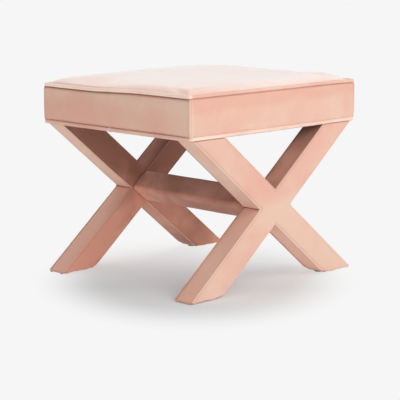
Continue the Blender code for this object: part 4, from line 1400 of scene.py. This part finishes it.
def notched(half, notch):
    """Places from -half to half, with one at each side of the cut-outs."""
    outer = [half - (half - notch) * i / NOTCH_STEPS for i in range(NOTCH_STEPS + 1)]
    inner = [notch * (1 - i / MIDDLE_STEPS) for i in range(1, MIDDLE_STEPS + 1)]
    places = outer + inner
    return [-place for place in places] + places[-2::-1]


class BENCH_OT_dust_cover(bpy.types.Operator):
    """Make the dust cover stretched under the seat and the staples that hold it"""

    bl_idname = "bench.dust_cover"
    bl_label = "Dust cover"

    def execute(self, context):
        sizes = context.scene.bench_sizes
        notch_x, notch_y = dust_notch()
        level = DUST_HIGH.z - DUST_GAP

        def place(x, y):
            sag = sizes.dust_sag * (1 - (x / DUST_HIGH.x) ** 2) * (1 - (y / DUST_HIGH.y) ** 2)
            return x, y, level - sag - 0.25 * MM * (1 + drift(x, y, 9.0, span=0.05)), 0.0

        def in_corner(face):
            middle = face.calc_center_median()
            return abs(middle.x) > notch_x and abs(middle.y) > notch_y

        bm = bmesh.new()
        lay_grid(bm, notched(DUST_HIGH.x, notch_x), notched(DUST_HIGH.y, notch_y), place)
        corners = [face for face in bm.faces if in_corner(face)]
        bmesh.ops.delete(bm, geom=corners, context="FACES")
        cover = make_piece(
            "dust_cover_sheet", bm, cambric_finish(), ["dust_cover"],
            towards=Vector((0, 0, -1)), wall=0.3 * MM,
        )
        self.staples(sizes.staple_pitch, notch_x, notch_y, level - STAPLE_DROP)
        return {"FINISHED"}

    def staples(self, pitch, notch_x, notch_y, level):
        """A row of flat wire staples along each of the cover's edges."""
        bm = bmesh.new()
        for sign in (-1, 1):
            for turn, notch, edge in (
                (0.0, notch_x, DUST_HIGH.y), (math.pi / 2, notch_y, DUST_HIGH.x),
            ):
                reach, off = notch - 2 * STAPLE_MARGIN, sign * (edge - STAPLE_MARGIN)
                count = round(2 * reach / pitch)
                for index in range(count + 1):
                    along = -reach + 2 * reach * index / count
                    tilt = STAPLE_TILT * drift(along, off, 2.0, span=0.03)
                    spot = (off, along, level) if turn else (along, off, level)
                    self.staple(bm, spot, turn + tilt)
        make_piece("dust_cover_staples", bm, zinc_finish())

    def staple(self, bm, spot, turn):
        matrix = Matrix.Translation(spot) @ Matrix.Rotation(turn, 4, "Z")
        made = bmesh.ops.create_cube(bm, size=1.0, matrix=matrix @ Matrix.Diagonal((*STAPLE, 1)))
        edges = list({edge for vert in made["verts"] for edge in vert.link_edges})
        bmesh.ops.bevel(
            bm, geom=edges, offset=0.2 * MM, affect="EDGES", segments=1, profile=0.5, material=-1
        )


class BENCH_OT_inner_finishes(bpy.types.Operator):
    """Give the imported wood, steel and nylon pieces their finishes"""

    bl_idname = "bench.inner_finishes"
    bl_label = "Inner finishes"

    def execute(self, context):
        hues = context.scene.bench_colours
        finishes = {
            "poplar": wood_finish("poplar", hues.poplar, hues.poplar_dark, figure=0.6),
            "birch_plywood": wood_finish("birch_plywood", hues.birch, hues.birch_dark, figure=0.45),
            "zinc_plated_steel": zinc_finish(),
            "brown_nylon": nylon_finish(),
        }
        for part in frame["record"]["subparts"]:
            finish = finishes.get(part["material_slot"])
            if finish:
                frame["nodes"][part["node"]].material_slots[0].material = finish
        return {"FINISHED"}


def mix_shader(tree, factor, first, second):
    return add_node(tree, "ShaderNodeMixShader", {0: factor, 1: first, 2: second}).outputs[0]


def seen_ray(tree):
    """1 for rays that show the background: straight, mirrored or through glass."""
    path = add_node(tree, "ShaderNodeLightPath")
    seen = maths(tree, "MAXIMUM", path.outputs["Is Camera Ray"], path.outputs["Is Glossy Ray"])
    return maths(tree, "MAXIMUM", seen, path.outputs["Is Transmission Ray"])


def glow(tree, tone, strength=1.0, kind="ShaderNodeEmission"):
    return add_node(tree, kind, {"Color": (*tone, 1.0), "Strength": strength}).outputs[0]


def bare_tree(owner):
    """The empty node tree of a new material or world."""
    owner.use_nodes = True
    owner.node_tree.nodes.clear()
    return owner.node_tree


FLOOR_HALF = 8.0
# The oval on the floor past which it is as pale as the background: middle, turn and half axes
OVAL_MIDDLE = (-0.051, -0.034, 0.0)
OVAL_TURN = (0.0, 0.0, -math.pi / 4)
OVAL_HALF = (0.396, 0.545, 1.0)
FADE_START = 0.547  # share of the half axes from which the floor turns paler
BACK_SPAN = (-0.254, 0.697)  # places from the oval's front to its back, as shares
BACK_FADE = (0.157, 0.9)  # how pale the floor is inside the oval at those places
# Place, target and size of each softbox
SOFTBOXES = {
    "overhead": ((1.0, 1.0, 2.0), (0.0, 0.0, 0.2), (1.8, 1.8)),
    "front": ((0.5, -2.3, 1.9), (0.0, 0.0, 0.25), (2.2, 1.6)),
    "fill": ((-1.9, -1.9, 1.2), (0.0, 0.0, 0.25), (2.0, 1.4)),
}
SENSOR_WIDTH = 36.0  # millimetres


class BENCH_OT_stage(bpy.types.Operator):
    """Make the floor, the soft lights and the camera"""

    bl_idname = "bench.stage"
    bl_label = "Stage"

    def execute(self, context):
        scene = context.scene
        self.world(scene)
        self.floor(scene)
        for name, (place, target, size) in SOFTBOXES.items():
            power = getattr(scene.bench_studio, name)
            self.softbox(scene, f"{name}_softbox", place, target, size, power)
        self.camera(scene)
        scene.view_settings.view_transform = "Standard"
        return {"FINISHED"}

    def world(self, scene):
        world = bpy.data.worlds.new("studio")
        tree = bare_tree(world)
        kind = "ShaderNodeBackground"
        light = glow(tree, (1.0, 1.0, 1.0), scene.bench_studio.ambient, kind)
        backdrop = glow(tree, scene.bench_colours.background, 1.0, kind)
        shown = mix_shader(tree, seen_ray(tree), light, backdrop)
        add_node(tree, "ShaderNodeOutputWorld", {"Surface": shown})
        scene.world = world

    def floor(self, scene):
        """A pale floor that takes the bench's shadow and fades into the background."""
        bm = bmesh.new()
        bmesh.ops.create_grid(bm, x_segments=1, y_segments=1, size=FLOOR_HALF)
        mesh = bpy.data.meshes.new("studio_floor")
        bm.to_mesh(mesh)
        bm.free()
        floor = bpy.data.objects.new("studio_floor", mesh)
        scene.collection.objects.link(floor)
        mesh.materials.append(self.floor_finish(scene))

    def floor_finish(self, scene):
        """Matt inside an oval round the bench, and open from below."""
        colours = scene.bench_colours
        finish = bpy.data.materials.new("studio_floor_finish")
        tree = bare_tree(finish)
        matt = add_node(tree, "ShaderNodeBsdfDiffuse", {"Color": (*colours.floor, 1.0)}).outputs[0]
        place = add_node(tree, "ShaderNodeTexCoord").outputs["Object"]
        inputs = {
            "Vector": place, "Location": OVAL_MIDDLE, "Rotation": OVAL_TURN, "Scale": OVAL_HALF,
        }
        mapping = add_node(tree, "ShaderNodeMapping", vector_type="TEXTURE", inputs=inputs)
        oval = mapping.outputs["Vector"]
        away = add_node(tree, "ShaderNodeVectorMath", {0: oval}, operation="LENGTH")
        depth = add_node(tree, "ShaderNodeSeparateXYZ", {0: oval}).outputs["Y"]
        inside = remap(tree, depth, *BACK_SPAN, *BACK_FADE)
        far = remap(tree, away.outputs["Value"], FADE_START, 1.0, inside, 1.0, "SMOOTHSTEP")
        seen = seen_ray(tree)
        bounce = glow(tree, colours.background, scene.bench_studio.bounce)
        bounced = add_node(tree, "ShaderNodeAddShader", {0: matt, 1: bounce}).outputs[0]
        lit = mix_shader(tree, seen, bounced, matt)
        faded = maths(tree, "MULTIPLY", far, seen)
        pale = mix_shader(tree, faded, lit, glow(tree, colours.background))
        below = add_node(tree, "ShaderNodeNewGeometry").outputs["Backfacing"]
        clear = add_node(tree, "ShaderNodeBsdfTransparent").outputs[0]
        shown = mix_shader(tree, below, pale, clear)
        add_node(tree, "ShaderNodeOutputMaterial", {"Surface": shown})
        return finish

    def softbox(self, scene, name, place, target, size, power):
        light = bpy.data.lights.new(name, "AREA")
        light.shape = "RECTANGLE"
        light.size, light.size_y = size
        light.energy = power
        lamp = bpy.data.objects.new(name, light)
        lamp.location = place
        aim = Vector(target) - Vector(place)
        lamp.rotation_euler = aim.to_track_quat("-Z", "Y").to_euler()
        scene.collection.objects.link(lamp)

    def camera(self, scene):
        studio = scene.bench_studio
        data = bpy.data.cameras.new("photo_camera")
        data.lens = studio.lens
        data.sensor_width = SENSOR_WIDTH
        camera = bpy.data.objects.new("photo_camera", data)
        flat = math.cos(studio.elevation)
        back = Vector((
            math.sin(studio.azimuth) * flat,
            -math.cos(studio.azimuth) * flat,
            math.sin(studio.elevation),
        ))
        camera.location = Vector(studio.target) + back * studio.distance
        camera.rotation_euler = (-back).to_track_quat("-Z", "Y").to_euler()
        scene.collection.objects.link(camera)
        scene.camera = camera


OPERATORS = (
    BENCH_OT_stage,
    BENCH_OT_inner_finishes,
    BENCH_OT_seat_pad,
    BENCH_OT_boxing,
    BENCH_OT_welts,
    BENCH_OT_leg_panels,
    BENCH_OT_leg_strips,
    BENCH_OT_foot_folds,
    BENCH_OT_stretcher_sleeve,
    BENCH_OT_dust_cover,
)
GROUPS = {"bench_sizes": BenchSizes, "bench_colours": BenchColours, "bench_studio": BenchStudio}


class BENCH_PT_sidebar(bpy.types.Panel):
    """Lists the bench's pieces, sizes and colours"""

    bl_idname = "BENCH_PT_sidebar"
    bl_label = "X-Frame Bench"
    bl_space_type = "VIEW_3D"
    bl_region_type = "UI"
    bl_category = "Bench"

    def draw(self, context):
        for operator in OPERATORS:
            self.layout.operator(operator.bl_idname)
        for group in (getattr(context.scene, name) for name in GROUPS):
            box = self.layout.box()
            for name in group.__annotations__:
                box.prop(group, name)


def register():
    for kind in (*GROUPS.values(), *OPERATORS, BENCH_PT_sidebar):
        bpy.utils.register_class(kind)
    for name, group in GROUPS.items():
        setattr(bpy.types.Scene, name, PointerProperty(type=group))


def unregister():
    for name in GROUPS:
        delattr(bpy.types.Scene, name)
    for kind in (BENCH_PT_sidebar, *reversed(OPERATORS), *GROUPS.values()):
        bpy.utils.unregister_class(kind)


def main():
    register()
    bpy.ops.bench.stage()
    bpy.ops.bench.inner_finishes()
    bpy.ops.bench.seat_pad()
    bpy.ops.bench.boxing()
    bpy.ops.bench.welts()
    bpy.ops.bench.leg_panels()
    bpy.ops.bench.leg_strips()
    bpy.ops.bench.foot_folds()
    bpy.ops.bench.stretcher_sleeve()
    bpy.ops.bench.dust_cover()


if __name__ == "__main__":
    main()
